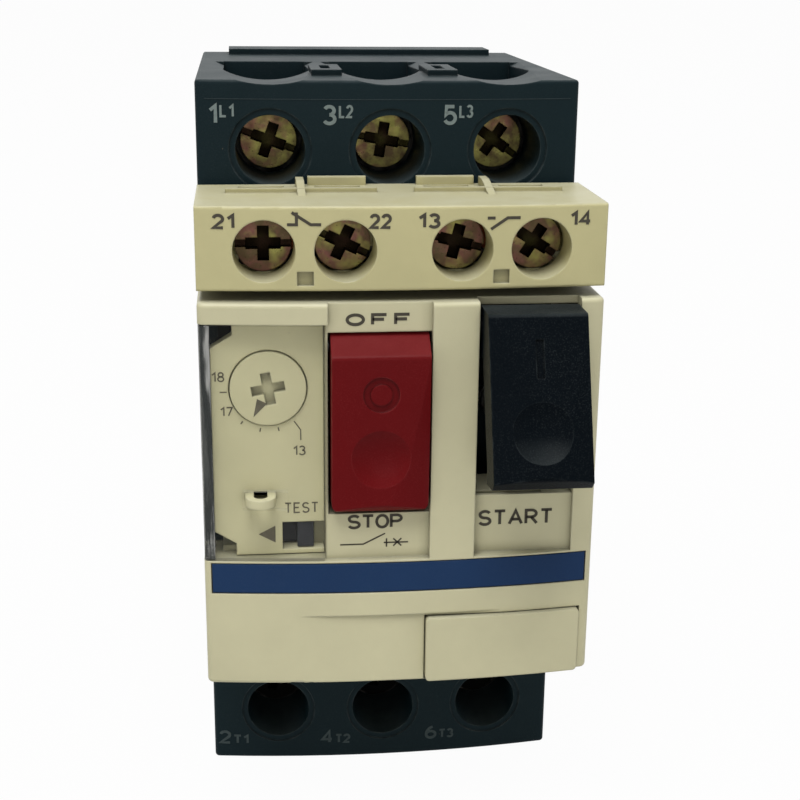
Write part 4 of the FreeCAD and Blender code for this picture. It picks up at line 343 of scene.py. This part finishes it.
def moulded_plastic(name, colour, grain, grain_depth, roughness, gloss, rubbed_and_sheen_tone, wear, top_dust_and_sheen, glints,
                    gap_shade=0.0):
    """Moulded plastic: mottled and finely grained, dusty with a painted sheen on top, rubbed with a painted
    highlight at edges, with painted glints, and painted shade in hollows and gaps.
    """
    finish = new_finish(name)
    rounded = finish.soft_normal(bpy.context.scene.switch_sizes.edge_softness)
    mottle = finish.noise(90.0, 4.0, 0.6)
    body = finish.blend(mottle.spread(0.3, 0.7), opaque(colour, 0.94), opaque(colour, 1.05))
    # Edges: partly real wear, partly a painted highlight where the rounded edges catch the light
    rubbed = finish.edges(rounded)*finish.noise(700.0, 3.0).spread(0.35, 0.7, 0.0, wear)
    body = finish.blend(rubbed, body, opaque(rubbed_and_sheen_tone))
    # Upward faces: partly settled dirt, partly a painted sheen of the light from above
    dust_and_top_sheen = finish.upward()*finish.noise(240.0, 4.0, 0.65).spread(0.25, 0.7, 0.4*top_dust_and_sheen, top_dust_and_sheen)
    body = finish.blend(dust_and_top_sheen, body, opaque(rubbed_and_sheen_tone))
    # Painted glints: fine specks of light put into the colour
    painted_glints = finish.noise(6500.0, 2.0, 0.6).spread(0.52, 0.78, 0.0, glints)
    painted_glints = painted_glints*finish.noise(130.0, 2.0).spread(0.3, 0.65, 0.2, 1.0)
    body = finish.blend(painted_glints, body, opaque(rubbed_and_sheen_tone))
    # Painted shade in the piece's hollows, and for the cream plastics also in gaps between neighbouring
    # parts
    painted_shade = finish.hollows(SHADE_REACH).spread(0.1, 0.7, 0.0, 0.7)
    if gap_shade:
        painted_shade = painted_shade.larger(finish.hollows(GAP_SHADE_REACH, False).spread(0.4, 0.85, 0.0, gap_shade))
    body = finish.blend(painted_shade, body, opaque(colour, 0.2))
    spots = finish.specks(520.0, 0.04, 0.04)
    body = finish.blend(spots*0.4, body, opaque(bpy.context.scene.switch_colours.spot))
    height = finish.noise(grain, 2.0) + 0.5*finish.noise(grain*2.7, 1.0)
    return finish.surface({
        "Base Color": body,
        "Roughness": finish.noise(160.0, 3.0).spread(0.3, 0.7, roughness - 0.03, roughness + 0.04),
        "Specular IOR Level": gloss,
        "Normal": finish.bump(height, grain_depth, GRAIN_HEIGHT, rounded),
    })


def plated_metal(name, colour, tint, second_tint, roughness, face=None):
    """Metal: patches of two tints, pits, a painted highlight on edges, and painted shade in hollows and
    behind a face at a given y.
    """
    finish = new_finish(name)
    rounded = finish.soft_normal(METAL_EDGE)
    body = finish.blend(finish.noise(420.0, 4.0, 0.65).spread(0.4, 0.62), opaque(colour), opaque(tint))
    body = finish.blend(finish.noise(270.0, 3.0, 0.6).spread(0.5, 0.66), body, opaque(second_tint))
    # Painted highlight along the metal's edges
    body = finish.blend(finish.edges(rounded)*0.4, body, opaque(colour, 2.0))
    body = finish.blend(finish.specks(2600.0, 0.22, 0.3)*0.5, body, opaque(colour, 0.35))
    # Painted shade in hollows, such as a screw's cross recess
    dark = finish.hollows(METAL_SHADE_REACH).spread(0.12, 0.5, 0.0, 0.95)
    body = finish.blend(dark, body, opaque(colour, 0.05))
    # Painted shade on metal deeper than the given face, such as a screw head's sides inside its well
    if face is not None:
        depth = finish.node("ShaderNodeSeparateXYZ", {}, {0: finish.place}, "Y") - face
        body = finish.blend(depth.spread(0.00025, 0.0008, 0.0, 0.9), body, opaque(colour, 0.05))
    return finish.surface({
        "Base Color": body,
        "Metallic": 1.0,
        "Roughness": finish.noise(900.0, 3.0).spread(0.3, 0.7, roughness - 0.08, roughness + 0.12),
        "Normal": finish.bump(finish.noise(3000.0, 2.0), 0.15, METAL_GRAIN, rounded),
    })


def clear_plastic(name):
    """Clear plate: see-through, glossier towards grazing, with dusty specks, and at its hinge a painted
    dark shade with streaked painted reflections.
    """
    finish = new_finish(name)
    rounded = finish.soft_normal(0.0002)
    bumped = finish.bump(finish.noise(350.0, 5.0, 0.7), 0.04, 0.00005, rounded)
    place = finish.node("ShaderNodeSeparateXYZ", {}, {0: finish.place})
    # Painted shade and painted reflections at the hinge: the plate is dark and partly opaque there, with
    # streaks of painted light
    hinge = place.under(HINGE_EDGE*MM)
    painted_streaks = finish.noise(1000.0, 3.0, 0.5, finish.stretched(1.6, 1.6, 0.12)).spread(0.5, 0.66)
    tone = finish.blend(hinge*(1 - painted_streaks), (0.6, 0.6, 0.57, 1.0), (0.02, 0.024, 0.022, 1.0))
    through = finish.node("ShaderNodeBsdfTransparent", {}, {"Color": (0.995, 0.995, 0.985, 1.0)})
    gloss = finish.node("ShaderNodeBsdfPrincipled", {}, {
        "Base Color": tone, "Roughness": 0.1, "Normal": bumped})
    facing = finish.node("ShaderNodeLayerWeight", {}, {"Blend": 0.2, "Normal": bumped}, "Facing")
    cover = (facing*facing).spread(0.0, 1.0, 0.01, 0.9)
    cover = cover.larger(hinge*painted_streaks.spread(0.0, 1.0, 0.62, 0.5))
    cover = cover.larger(finish.specks(800.0, 0.05, 0.05)*0.3)
    return finish.end(finish.node("ShaderNodeMixShader", {}, {0: cover, 1: through, 2: gloss}))


def printed(name, colour, wear):
    """Printing ink: slightly uneven, thin where it has rubbed."""
    finish = new_finish(name)
    uneven = finish.noise(1500.0, 3.0, 0.7).spread(0.3, 0.75)
    return finish.surface({
        "Base Color": finish.blend(uneven, opaque(colour), opaque(colour, wear)),
        "Roughness": finish.noise(700.0).spread(0.3, 0.7, 0.5, 0.65),
        "Specular IOR Level": 0.15,
    })


class Palette:
    """The finishes, each made when it is first asked for."""

    def __init__(self):
        self.made = {}

    def get(self, slot):
        """The material of one finish."""
        if slot not in self.made:
            self.made[slot] = self.make(slot)
        return self.made[slot]

    def make(self, slot):
        """Make a finish by its name in the record, or an ink by its own."""
        tone = bpy.context.scene.switch_colours
        cream_moulding = (5200.0, 0.12, 0.42, 0.3, tone.pale_cream, 0.35, 0.45, 0.0, 0.85)
        # Colour, grain, its depth, roughness, gloss, tone of rubbed edges and painted sheen, edge wear with
        # painted highlight, dusty tops with painted sheen, painted glints, painted shade in gaps
        plastics = {
            "cream_plastic": (tone.cream, *cream_moulding),
            "aged_plastic": (tone.aged_cream, *cream_moulding),
            "panel_plastic": (tone.panel, 5200.0, 0.12, 0.45, 0.25, tone.pale_cream, 0.25, 0.3, 0.0),
            "dark_plastic": (tone.slate, 4200.0, 0.2, 0.46, 0.07, tone.dust_and_sheen, 0.2, 0.14, 0.03),
            "red_plastic": (tone.red, 6500.0, 0.15, 0.40, 0.08, tone.pale_red, 0.4, 0.22, 0.14),
            "black_plastic": (tone.black, 5200.0, 0.45, 0.36, 0.03, tone.dust_and_sheen, 0.16, 0.11, 0.07),
            "grey_plastic": (tone.grey, 5200.0, 0.15, 0.5, 0.15, tone.dust_and_sheen, 0.2, 0.1, 0.05),
            "blue_label": (tone.blue, 7000.0, 0.1, 0.5, 0.12, tone.dust_and_sheen, 0.08, 0.1, 0.05),
            # Shaded copy of the screw finish: painted shade for the load screws deep in their wells
            "well_shaded_screw": (tone.shaded, 3000.0, 0.2, 0.6, 0.03, tone.dull, 0.05, 0.0, 0.0),
            "inner_plastic": (tone.inner, 5200.0, 0.12, 0.5, 0.3, tone.dust_and_sheen, 0.1, 0.1, 0.0),
            "fibre": (tone.fibre, 2600.0, 0.3, 0.8, 0.2, tone.ink, 0.15, 0.1, 0.1),
        }
        # Colour, two tints, roughness, and the y of a face behind which the metal gets painted shade
        metals = {
            "line_screw": (tone.zinc, tone.olive, tone.rose, 0.34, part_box("line_terminal_screws")[0][1]),
            "aux_screw": (tone.zinc, tone.rose, tone.olive, 0.34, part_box("aux_terminal_screws")[0][1]),
            "dull_steel": (tone.dull, tone.shaded, tone.dull, 0.5),
            "steel": (tone.steel, tone.wire, tone.silver, 0.36),
            "spring_steel": (tone.wire, tone.steel, tone.steel, 0.32),
            "copper": (tone.copper, tone.winding, tone.rose, 0.38),
            "silver": (tone.silver, tone.steel, tone.wire, 0.3),
            "winding": (tone.winding, tone.copper, tone.rose, 0.35),
        }
        # Colour, and how much lighter or darker it is where it has rubbed
        inks = {"ink": (tone.ink, 1.3), "thin_ink": (tone.thin_ink, 1.3), "pale_ink": (tone.pale_ink, 0.75),
                "relief_highlight": (tone.relief_highlight, 0.7), "seam": (tone.seam, 0.6)}
        if slot in plastics:
            return moulded_plastic(slot, *plastics[slot])
        if slot in metals:
            return plated_metal(slot, *metals[slot])
        if slot in inks:
            return printed(slot, *inks[slot])
        if slot == "clear_plastic":
            return clear_plastic(slot)
        raise KeyError(slot)


palette = Palette()


# Surfaces that carry the markings. Each takes x and z in millimetres and gives y.

def bowed(plane, bow):
    """Front of a moulding: an arc that bows out of a plane by the bow at mid width."""
    plane, bow = plane/MM, bow/MM
    radius = (HALF_WIDTH**2 + bow**2)/(2*bow)
    return lambda x, z: plane - bow + radius - np.sqrt(radius**2 - x**2)


def level(plane):
    """A flat front at one y."""
    return lambda x, z: np.full_like(x, plane/MM)


# Lines of (x, z) that the markings follow

def oval(centre, radii, start, end, count=25):
    """Points on an ellipse about a centre, from one angle to another in degrees."""
    angle = np.radians(np.linspace(start, end, count))
    return np.stack([centre[0] + radii[0]*np.cos(angle), centre[1] + radii[1]*np.sin(angle)], 1)


def ring(centre, radii):
    """A whole ellipse, started at its top."""
    return oval(centre, radii, 90, 450, 41)


def line(*points):
    """A straight or bent line through points."""
    return np.array(points, float)


def joined(*paths):
    """Several paths drawn without lifting the pen. None starts where the one before it ends."""
    return np.vstack(paths)


BOWL = joined(line((0, 0), (0, 1)), oval((0.3, 0.74), (0.28, 0.26), 90, -90), line((0, 0.48)))

# Signs of an upright engraving letter: the width of each for a height of one, and its strokes
SIGNS = {
    "A": (0.7, [line((0, 0), (0.35, 1), (0.7, 0)), line((0.13, 0.34), (0.57, 0.34))]),
    "E": (0.55, [line((0.55, 1), (0, 1), (0, 0), (0.55, 0)), line((0, 0.52), (0.45, 0.52))]),
    "F": (0.55, [line((0, 0), (0, 1), (0.55, 1)), line((0, 0.52), (0.45, 0.52))]),
    "L": (0.5, [line((0, 1), (0, 0), (0.5, 0))]),
    "O": (0.64, [ring((0.32, 0.5), (0.32, 0.5))]),
    "P": (0.58, [BOWL]),
    "R": (0.62, [BOWL, line((0.3, 0.48), (0.62, 0))]),
    "S": (0.6, [joined(oval((0.3, 0.75), (0.28, 0.25), 25, 270),
                       oval((0.3, 0.25), (0.3, 0.25), 80, -160))]),
    "T": (0.6, [line((0, 1), (0.6, 1)), line((0.3, 1), (0.3, 0))]),
    "1": (0.3, [line((0, 0.74), (0.3, 1), (0.3, 0))]),
    "2": (0.58, [joined(oval((0.29, 0.71), (0.28, 0.29), 165, -38), line((0, 0), (0.58, 0)))]),
    "3": (0.56, [oval((0.27, 0.76), (0.25, 0.24), 155, -90), oval((0.27, 0.26), (0.29, 0.26), 90, -155)]),
    "4": (0.62, [line((0.46, 0), (0.46, 1), (0, 0.28), (0.62, 0.28))]),
    "5": (0.56, [joined(line((0.5, 1), (0.08, 1), (0.04, 0.5)),
                        oval((0.27, 0.32), (0.29, 0.32), 125, -155))]),
    "6": (0.58, [ring((0.29, 0.3), (0.29, 0.3)), oval((0.5, 0.32), (0.5, 0.68), 100, 180)]),
    "7": (0.56, [line((0, 1), (0.56, 1), (0.18, 0))]),
    "8": (0.58, [ring((0.29, 0.76), (0.24, 0.24)), ring((0.29, 0.26), (0.29, 0.26))]),
}


# Shapes as arrays: points of (x, y, z) in millimetres and faces of point numbers

def grid_faces(rows, columns):
    """Faces of a grid of points numbered row by row."""
    row, column = np.meshgrid(np.arange(rows - 1), np.arange(columns - 1), indexing="ij")
    first = row*columns + column
    return np.stack([first, first + 1, first + columns + 1, first + columns], -1).reshape(-1, 4).tolist()


def stroke(path, width, surface, steps=1):
    """A band of one width along a path of (x, z), mitred at its bends and laid on a surface."""
    path = np.array(path, float)
    share = np.linspace(0, len(path) - 1, (len(path) - 1)*steps + 1)
    middle = np.stack([np.interp(share, np.arange(len(path)), path[:, i]) for i in (0, 1)], 1)
    ahead = np.diff(middle, axis=0)
    ahead /= np.linalg.norm(ahead, axis=1, keepdims=True)
    before, after = np.vstack([ahead[:1], ahead]), np.vstack([ahead, ahead[-1:]])
    side = np.stack([-(before + after)[:, 1], (before + after)[:, 0]], 1)
    side /= np.linalg.norm(side, axis=1, keepdims=True)
    reach = width/2/np.maximum(0.5, side[:, 0]*-after[:, 1] + side[:, 1]*after[:, 0])
    x, z = np.stack([middle - side*reach[:, None], middle + side*reach[:, None]], 1).reshape(-1, 2).T
    return np.stack([x, surface(x, z), z], 1), grid_faces(len(middle), 2)


def lettering(text, low, high, width, surface, gap=0.28):
    """Strokes of a word stretched to fill a rectangle of (x, z), pen width included."""
    low, high = np.array(low) + width/2, np.array(high) - width/2
    starts = np.cumsum([0] + [SIGNS[sign][0] + gap for sign in text])
    scale = (high - low)/np.array([starts[-1] - gap, 1.0])
    return [stroke(low + (path + np.array([start, 0]))*scale, width, surface)
            for sign, start in zip(text, starts) for path in SIGNS[sign][1]]


def wedge(points, surface):
    """A flat shape with straight sides through points of (x, z), laid on a surface."""
    x, z = np.array(points, float).T
    return np.stack([x, surface(x, z), z], 1), [list(range(len(points)))]


def wire_guard(pole, root, bend, tip, half_width):
    """Tongue bent off the edge of a saddle. Along it, s from 0 to 1, (y, z) runs on the parabola that
    root, bend and tip give; across it, u from -1 to 1, x is pole + u*half_width*(1 - s**6/4), so that
    its end is rounded."""
    along, across = np.linspace(0, 1, GUARD_ROWS), np.linspace(-1, 1, GUARD_COLUMNS)
    s, u = np.meshgrid(along, across, indexing="ij")
    run = [(1 - s)**2*root[i] + 2*s*(1 - s)*bend[i] + s**2*tip[i] for i in (0, 1)]
    x = pole + u*half_width*(1 - s**6/4)
    return np.stack([x, run[0], run[1]], -1).reshape(-1, 3), grid_faces(GUARD_ROWS, GUARD_COLUMNS)


def wound_wire(box, along, turns, wire):
    """Helical spring that fills a box. At t from 0 to 1 the wire's middle has turned by turns*t and has
    gone t - flatness*sin(2 pi t)/(2 pi) of its length, so its end turns lie flat; round it, p from 0 to
    2 pi, the surface stands off by wire*(cos p outwards + sin p along the axis)."""
    low, high = [np.array(corner)/MM for corner in box]
    across, beside = [i for i in (0, 1, 2) if i != along]
    rows, columns = turns*TURN_STEPS + 1, WIRE_SIDES
    t = np.linspace(0, 1, rows)[:, None]
    p = np.linspace(0, 2*np.pi, columns, endpoint=False)[None, :]
    turn = 2*np.pi*turns*t
    out = (high[across] - low[across])/2 - wire + wire*np.cos(p)
    share = t - END_FLATNESS*np.sin(2*np.pi*t)/(2*np.pi)
    points = np.zeros((rows, columns, 3))
    points[..., across] = (low[across] + high[across])/2 + out*np.cos(turn)
    points[..., beside] = (low[beside] + high[beside])/2 + out*np.sin(turn)
    points[..., along] = low[along] + wire + (high[along] - low[along] - 2*wire)*share + wire*np.sin(p)
    row, column = np.meshgrid(np.arange(rows - 1), np.arange(columns), indexing="ij")
    first, second = row*columns + column, row*columns + (column + 1) % columns
    sides = np.stack([first, second, second + columns, first + columns], -1).reshape(-1, 4).tolist()
    ends = [list(range(columns)), list(range((rows - 1)*columns, rows*columns))]
    return points.reshape(-1, 3), sides + ends


def spring(node, along, turns, wire, fixed_end):
    """A wound piece in place of a CAD spring, hung on the base body."""
    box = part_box(node)
    points, faces = wound_wire(box, along, turns, wire)
    mesh = bpy.data.meshes.new(node + "_coil")
    mesh.from_pydata((points*MM).tolist(), [], faces)
    shell = bmesh.new()
    shell.from_mesh(mesh)
    bmesh.ops.recalc_face_normals(shell, faces=shell.faces)
    shell.to_mesh(mesh)
    shell.free()
    mesh.polygons.foreach_set("use_smooth", [True]*len(mesh.polygons))
    mesh.materials.append(palette.get("spring_steel"))
    item = bpy.data.objects.new(node + "_coil", mesh)
    bpy.context.scene.collection.objects.link(item)
    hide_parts(node)
    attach(item, "base")
    axis, anchor = np.eye(3)[along], (np.array(box[0]) + np.array(box[1]))/2
    anchor[along] = fixed_end
    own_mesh(item)


def sheet_piece(name, shapes, slot, body, thickness):
    """One piece from several shapes of (x, y, z) in millimetres, facing -Y and given a thickness."""
    starts = np.cumsum([0] + [len(points) for points, faces in shapes])
    points = np.vstack([points for points, faces in shapes])*MM
    faces = [[number + start for number in face]
             for start, (_, shape) in zip(starts, shapes) for face in shape]
    mesh = bpy.data.meshes.new(name)
    mesh.from_pydata(points.tolist(), [], faces)
    face_front(mesh)
    mesh.materials.append(palette.get(slot))
    item = bpy.data.objects.new(name, mesh)
    bpy.context.scene.collection.objects.link(item)
    solid = item.modifiers.new("thickness", "SOLIDIFY")
    solid.thickness = thickness
    solid.offset = 1.0
    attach(item, body)
    return item


def marking(name, shapes, slot, body):
    """One printed piece from several shapes, lifted off its surface and given the ink's thickness."""
    sizes = bpy.context.scene.switch_sizes
    lift = np.array([0.0, sizes.ink_lift/MM, 0.0])
    sheet_piece(name, [(points - lift, faces) for points, faces in shapes], slot, body, sizes.ink_thickness)


def face_front(mesh):
    """Turn every face of a mesh to look out of the front, towards -Y."""
    mesh.update()
    normals = np.empty(len(mesh.polygons)*3)
    mesh.polygons.foreach_get("normal", normals)
    for number in np.flatnonzero(normals.reshape(-1, 3)[:, 1] > 0):
        mesh.polygons[number].flip()
    mesh.update()


# Operators

def dress(nodes, slot=None):
    """Give CAD nodes a named finish, or else the one of their slot in the record."""
    slots = {part["node"]: part["material_slot"] for part in frame["record"]["subparts"]}
    for node in nodes:
        materials = frame["nodes"][node].data.materials
        materials.clear()
        materials.append(palette.get(slot or slots[node]))


class SWITCH_OT_housing(bpy.types.Operator):
    """Finish the dark mouldings, the rail clip and the rivets"""
    bl_idname = "switch.housing"
    bl_label = "Housing"

    def execute(self, context):
        dress(["rear_base", "front_housing", "rail_clip", "housing_rivets"])
        sizes = context.scene.switch_sizes
        face = bowed(sizes.line_plane, sizes.terminal_bow)
        seam = stroke(line((-21.2, 42.4), (21.2, 42.4)), 0.08, face, 48)
        marking("moulding_line", [seam], "seam", "base")
        return {"FINISHED"}


class SWITCH_OT_nose(bpy.types.Operator):
    """Finish the nose and the inserts on its apron, and print the words beside the rockers"""
    bl_idname = "switch.nose"
    bl_label = "Nose"

    def execute(self, context):
        dress(["front_cover", "label_insert", "marker_plate"])
        sizes = context.scene.switch_sizes
        stop = level(sizes.stop_field)
        shapes = lettering("OFF", (-6.35, 19.9), (0.75, 21.3), 0.34, stop, 0.36)
        shapes += lettering("STOP", (-6.15, -3.7), (0.1, -1.95), 0.32, stop, 0.2)
        shapes += lettering("START", (8.85, -4.1), (17.55, -2.15), 0.34, level(sizes.start_field), 0.25)
        symbol = (
            line((-6.97, -5.54), (-4.35, -5.54), (-1.88, -4.3)), line((-2.03, -5.42), (0.74, -5.42)),
            line((-1.72, -4.92), (-1.72, -5.95)), line((-0.95, -5.85), (-0.03, -4.95)),
            line((-0.95, -4.95), (-0.03, -5.85)))
        shapes += [stroke(path, 0.16, stop) for path in symbol]
        marking("nose_marks", shapes, "ink", "base")
        return {"FINISHED"}


class SWITCH_OT_rockers(bpy.types.Operator):
    """Finish the two rockers and their pins"""
    bl_idname = "switch.rockers"
    bl_label = "Rockers"

    def execute(self, context):
        dress(["start_button", "stop_button", "start_pivot_pin", "stop_pivot_pin"])
        return {"FINISHED"}


class SWITCH_OT_springs(bpy.types.Operator):
    """Wind the springs of the rockers and of the rail clip"""
    bl_idname = "switch.springs"
    bl_label = "Springs"

    def execute(self, context):
        spring("start_spring", 1, 6, BUTTON_WIRE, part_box("start_spring")[1][1])
        spring("stop_spring", 1, 6, BUTTON_WIRE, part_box("stop_spring")[1][1])
        spring("rail_clip_spring", 2, 7, CLIP_WIRE,
               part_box("rail_clip_spring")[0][2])
        return {"FINISHED"}


class SWITCH_OT_setting(bpy.types.Operator):
    """Finish the setting panel, dial, clear cover and TEST slide, and print the scale"""
    bl_idname = "switch.setting"
    bl_label = "Setting panel"

    def execute(self, context):
        dress(["setting_panel", "setting_dial", "clear_cover", "hinge_liner", "test_slider"])
        sizes = context.scene.switch_sizes
        face = level(sizes.panel_plane)
        shapes = []
        numbers = (("18", (-20.9, 13.4), (-19.5, 14.55)), ("17", (-20.05, 9.45), (-18.65, 10.55)),
                   ("13", (-12.1, 4.7), (-10.7, 5.85)))
        for text, low, high in numbers:
            shapes += lettering(text, low, high, 0.16, face)
        shapes += lettering("TEST", (-13.15, -2.2), (-9.3, -0.9), 0.17, face, 0.3)
        shapes.append(stroke(line((-20.05, 12.24), (-19.28, 12.24)), 0.13, face))
        shapes.append(stroke(line((-11.96, 8.74), (-11.23, 7.70), (-11.23, 6.50)), 0.13, face))
        shapes.append(wedge([(-16.1, -4.65), (-14.2, -5.7), (-14.2, -3.65)], face))
        for angle in np.radians((-127.0, -101.0, -77.0)):
            out = np.array([np.cos(angle), np.sin(angle)])
            shapes.append(stroke([DIAL_MIDDLE + 4.68*out, DIAL_MIDDLE + 5.1*out], 0.14, face))
        marking("panel_scale", shapes, "thin_ink", "base")
        pointer = wedge([(-16.43, 9.37), (-14.9, 10.92), (-16.0, 11.48)], level(sizes.dial_plane))
        marking("dial_pointer", [pointer], "thin_ink", "dial")
        return {"FINISHED"}


class SWITCH_OT_terminals(bpy.types.Operator):
    """Finish the power terminals and mark them"""
    bl_idname = "switch.terminals"
    bl_label = "Power terminals"

    def execute(self, context):
        dress(["line_terminal_screws"], "line_screw")
        # Painted shade: the load screws take a darkened copy of the screw finish for their deep wells
        dress(["load_terminal_screws"], "well_shaded_screw")
        dress(["line_clamp_plates", "load_clamp_plates"], "dull_steel")
        sizes = context.scene.switch_sizes
        for side, way in (("line", 1), ("load", -1)):
            low, high = [np.array(corner)/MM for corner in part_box(side + "_clamp_plates")]
            edge = high[2] if way > 0 else low[2]
            front = low[1] + GUARD_SETBACK
            pitch = high[0] - (high[2] - low[2])/2
            run = [(front - forward, edge + outward*way) for forward, outward in GUARD_RUN]
            guards = [wire_guard(pole, *run, GUARD_HALF_WIDTH) for pole in (-pitch, 0.0, pitch)]
            guard = sheet_piece(side + "_wire_guards", guards, "dull_steel", "base", sizes.guard_thickness)
        face = bowed(sizes.line_plane, sizes.terminal_bow)
        shapes = []
        poles = (("1", "L1", -20.75, 1.0), ("3", "L2", -7.8, 1.6), ("5", "L3", 6.1, 1.6))
        for big, small, x, wide in poles:
            shapes += lettering(big, (x, 39.5), (x + wide, 41.8), 0.4, face)
            shapes += lettering(small, (x + wide + 0.25, 40.3), (x + wide + 1.9, 41.8), 0.26, face, 0.35)
        marking("line_marks", shapes, "pale_ink", "base")
        # The load marks paint the light caught by raised letters of the housing's own plastic
        face = bowed(sizes.load_plane, sizes.terminal_bow)
        shapes = []
        for big, small, x in (("2", "T1", -21.7), ("4", "T2", -8.2), ("6", "T3", 5.7)):
            shapes += lettering(big, (x, -42.5), (x + 1.6, -40.5), 0.38, face)
            shapes += lettering(small, (x + 1.85, -42.5), (x + 3.9, -41.1), 0.3, face, 0.3)
        marking("load_marks", shapes, "relief_highlight", "base")
        return {"FINISHED"}


class SWITCH_OT_aux(bpy.types.Operator):
    """Finish the auxiliary block and mark its contacts"""
    bl_idname = "switch.aux"
    bl_label = "Auxiliary block"

    def execute(self, context):
        dress(["aux_housing", "aux_rear_cover"], "aged_plastic")
        dress(["aux_terminal_plates", "aux_slider", "aux_contact_bridges", "aux_spring"])
        dress(["aux_terminal_screws"], "aux_screw")
        dress(["aux_clamp_plates"], "dull_steel")
        sizes = context.scene.switch_sizes
        face = bowed(sizes.aux_plane, sizes.aux_bow)
        shapes = []
        for text, x in (("21", -20.4), ("22", -3.8), ("13", 1.4), ("14", 18.0)):
            shapes += lettering(text, (x, 30.4), (x + 2.4, 32.05), 0.33, face, 0.3)
        symbols = (
            line((-12.5, 30.9), (-11.5, 30.9), (-11.5, 32.2)),
            line((-12.0, 32.2), (-10.0, 30.9), (-8.9, 30.9)),
            line((8.9, 31.45), (9.75, 31.45)), line((9.3, 30.25), (11.1, 31.45), (12.5, 31.45)))
        shapes += [stroke(path, 0.32, face) for path in symbols]
        marking("aux_marks", shapes, "ink", "base")
        return {"FINISHED"}


class SWITCH_OT_works(bpy.types.Operator):
    """Finish the poles, trips and latch inside the housing"""
    bl_idname = "switch.works"
    bl_label = "Works"

    def execute(self, context):
        dress([name for name, item in frame["nodes"].items()
               if not any(material in palette.made.values() for material in item.data.materials)])
        return {"FINISHED"}


class SWITCH_OT_stage(bpy.types.Operator):
    """Set out the pale floor, the lights and the camera"""
    bl_idname = "switch.stage"
    bl_label = "Stage"

    def execute(self, context):
        scene = context.scene
        studio = scene.switch_studio
        scene.view_settings.view_transform = "Standard"
        self.floor(scene)
        self.world(scene)
        self.lamp(scene, "key_light", (-0.16, -0.55, 1.20), 0.70, studio.key_watts)
        self.lamp(scene, "front_light", (-0.05, -0.75, -0.02), 0.50, studio.front_watts)
        self.lamp(scene, "left_light", (-0.60, -0.35, 0.20), 0.40, studio.side_watts)
        self.lamp(scene, "right_light", (0.60, -0.35, 0.20), 0.40, studio.side_watts)
        camera = bpy.data.cameras.new("photo_camera")
        camera.sensor_width = SENSOR_WIDTH
        camera.lens = studio.focal_length
        item = bpy.data.objects.new("photo_camera", camera)
        item.location = studio.camera_place
        item.rotation_euler = studio.camera_turn
        scene.collection.objects.link(item)
        scene.camera = item
        return {"FINISHED"}

    def floor(self, scene):
        """A wide flat grid under the switch, x and y in even steps."""
        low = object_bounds()[0]
        steps = np.linspace(-FLOOR_REACH, FLOOR_REACH, FLOOR_STEPS)
        x, y = np.meshgrid(steps, steps, indexing="ij")
        points = np.stack([x.ravel(), y.ravel(), np.full(x.size, low[2])], 1)
        mesh = bpy.data.meshes.new("floor")
        mesh.from_pydata(points.tolist(), [], grid_faces(FLOOR_STEPS, FLOOR_STEPS))
        item = bpy.data.objects.new("floor", mesh)
        scene.collection.objects.link(item)
        finish = new_finish("floor")
        matt = finish.node("ShaderNodeBsdfDiffuse", {}, {"Color": opaque(scene.switch_colours.floor)})
        glow = finish.node("ShaderNodeEmission", {}, {"Color": WHITE, "Strength": 1.0})
        white = seen_directly(finish)*FLOOR_WHITENESS
        mixed = finish.node("ShaderNodeMixShader", {}, {0: white, 1: matt, 2: glow})
        mesh.materials.append(finish.end(mixed))
        item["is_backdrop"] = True

    def world(self, scene):
        """White where it is seen, and plain soft light elsewhere."""
        daylight = scene.switch_studio.daylight
        finish = Finish(bpy.data.worlds.new("studio"))
        strength = seen_directly(finish)*(1 - daylight) + daylight
        sky = finish.node("ShaderNodeBackground", {}, {"Color": WHITE, "Strength": strength})
        scene.world = finish.end(sky, "ShaderNodeOutputWorld")

    def lamp(self, scene, name, place, size, watts):
        """A square soft light that looks at the front of the switch."""
        light = bpy.data.lights.new(name, "AREA")
        light.size = size
        light.energy = watts
        item = bpy.data.objects.new(name, light)
        item.location = place
        view = Vector(LAMP_AIM) - Vector(place)
        item.rotation_euler = view.to_track_quat("-Z", "Y").to_euler()
        scene.collection.objects.link(item)


def seen_directly(finish):
    """One for rays from the camera and for those that gloss or glass sends on."""
    camera, gloss, glass = [finish.node("ShaderNodeLightPath", output=name)
                            for name in ("Is Camera Ray", "Is Glossy Ray", "Is Transmission Ray")]
    return camera.larger(gloss).larger(glass)


class SWITCH_PT_panel(bpy.types.Panel):
    """Lists the steps in the sidebar"""
    bl_idname = "SWITCH_PT_panel"
    bl_label = "Motor protection switch"
    bl_space_type = "VIEW_3D"
    bl_region_type = "UI"
    bl_category = "Switch"

    def draw(self, context):
        for step in STEPS:
            self.layout.operator(step.bl_idname)


GROUPS = {"switch_sizes": SwitchSizes, "switch_colours": SwitchColours, "switch_studio": SwitchStudio}
STEPS = (SWITCH_OT_housing, SWITCH_OT_nose, SWITCH_OT_rockers, SWITCH_OT_springs, SWITCH_OT_setting,
         SWITCH_OT_terminals, SWITCH_OT_aux, SWITCH_OT_works, SWITCH_OT_stage)


def register():
    """Register the classes and hang the property groups on the scene."""
    for item in (*GROUPS.values(), *STEPS, SWITCH_PT_panel):
        bpy.utils.register_class(item)
    for name, item in GROUPS.items():
        setattr(bpy.types.Scene, name, bpy.props.PointerProperty(type=item))


def unregister():
    """Take the property groups and the classes away again."""
    for name in GROUPS:
        delattr(bpy.types.Scene, name)
    for item in reversed((*GROUPS.values(), *STEPS, SWITCH_PT_panel)):
        bpy.utils.unregister_class(item)


def main():
    """Dress the switch and set the stage."""
    register()
    for step in STEPS:
        group, name = step.bl_idname.split(".")
        getattr(getattr(bpy.ops, group), name)()


if __name__ == "__main__":
    main()
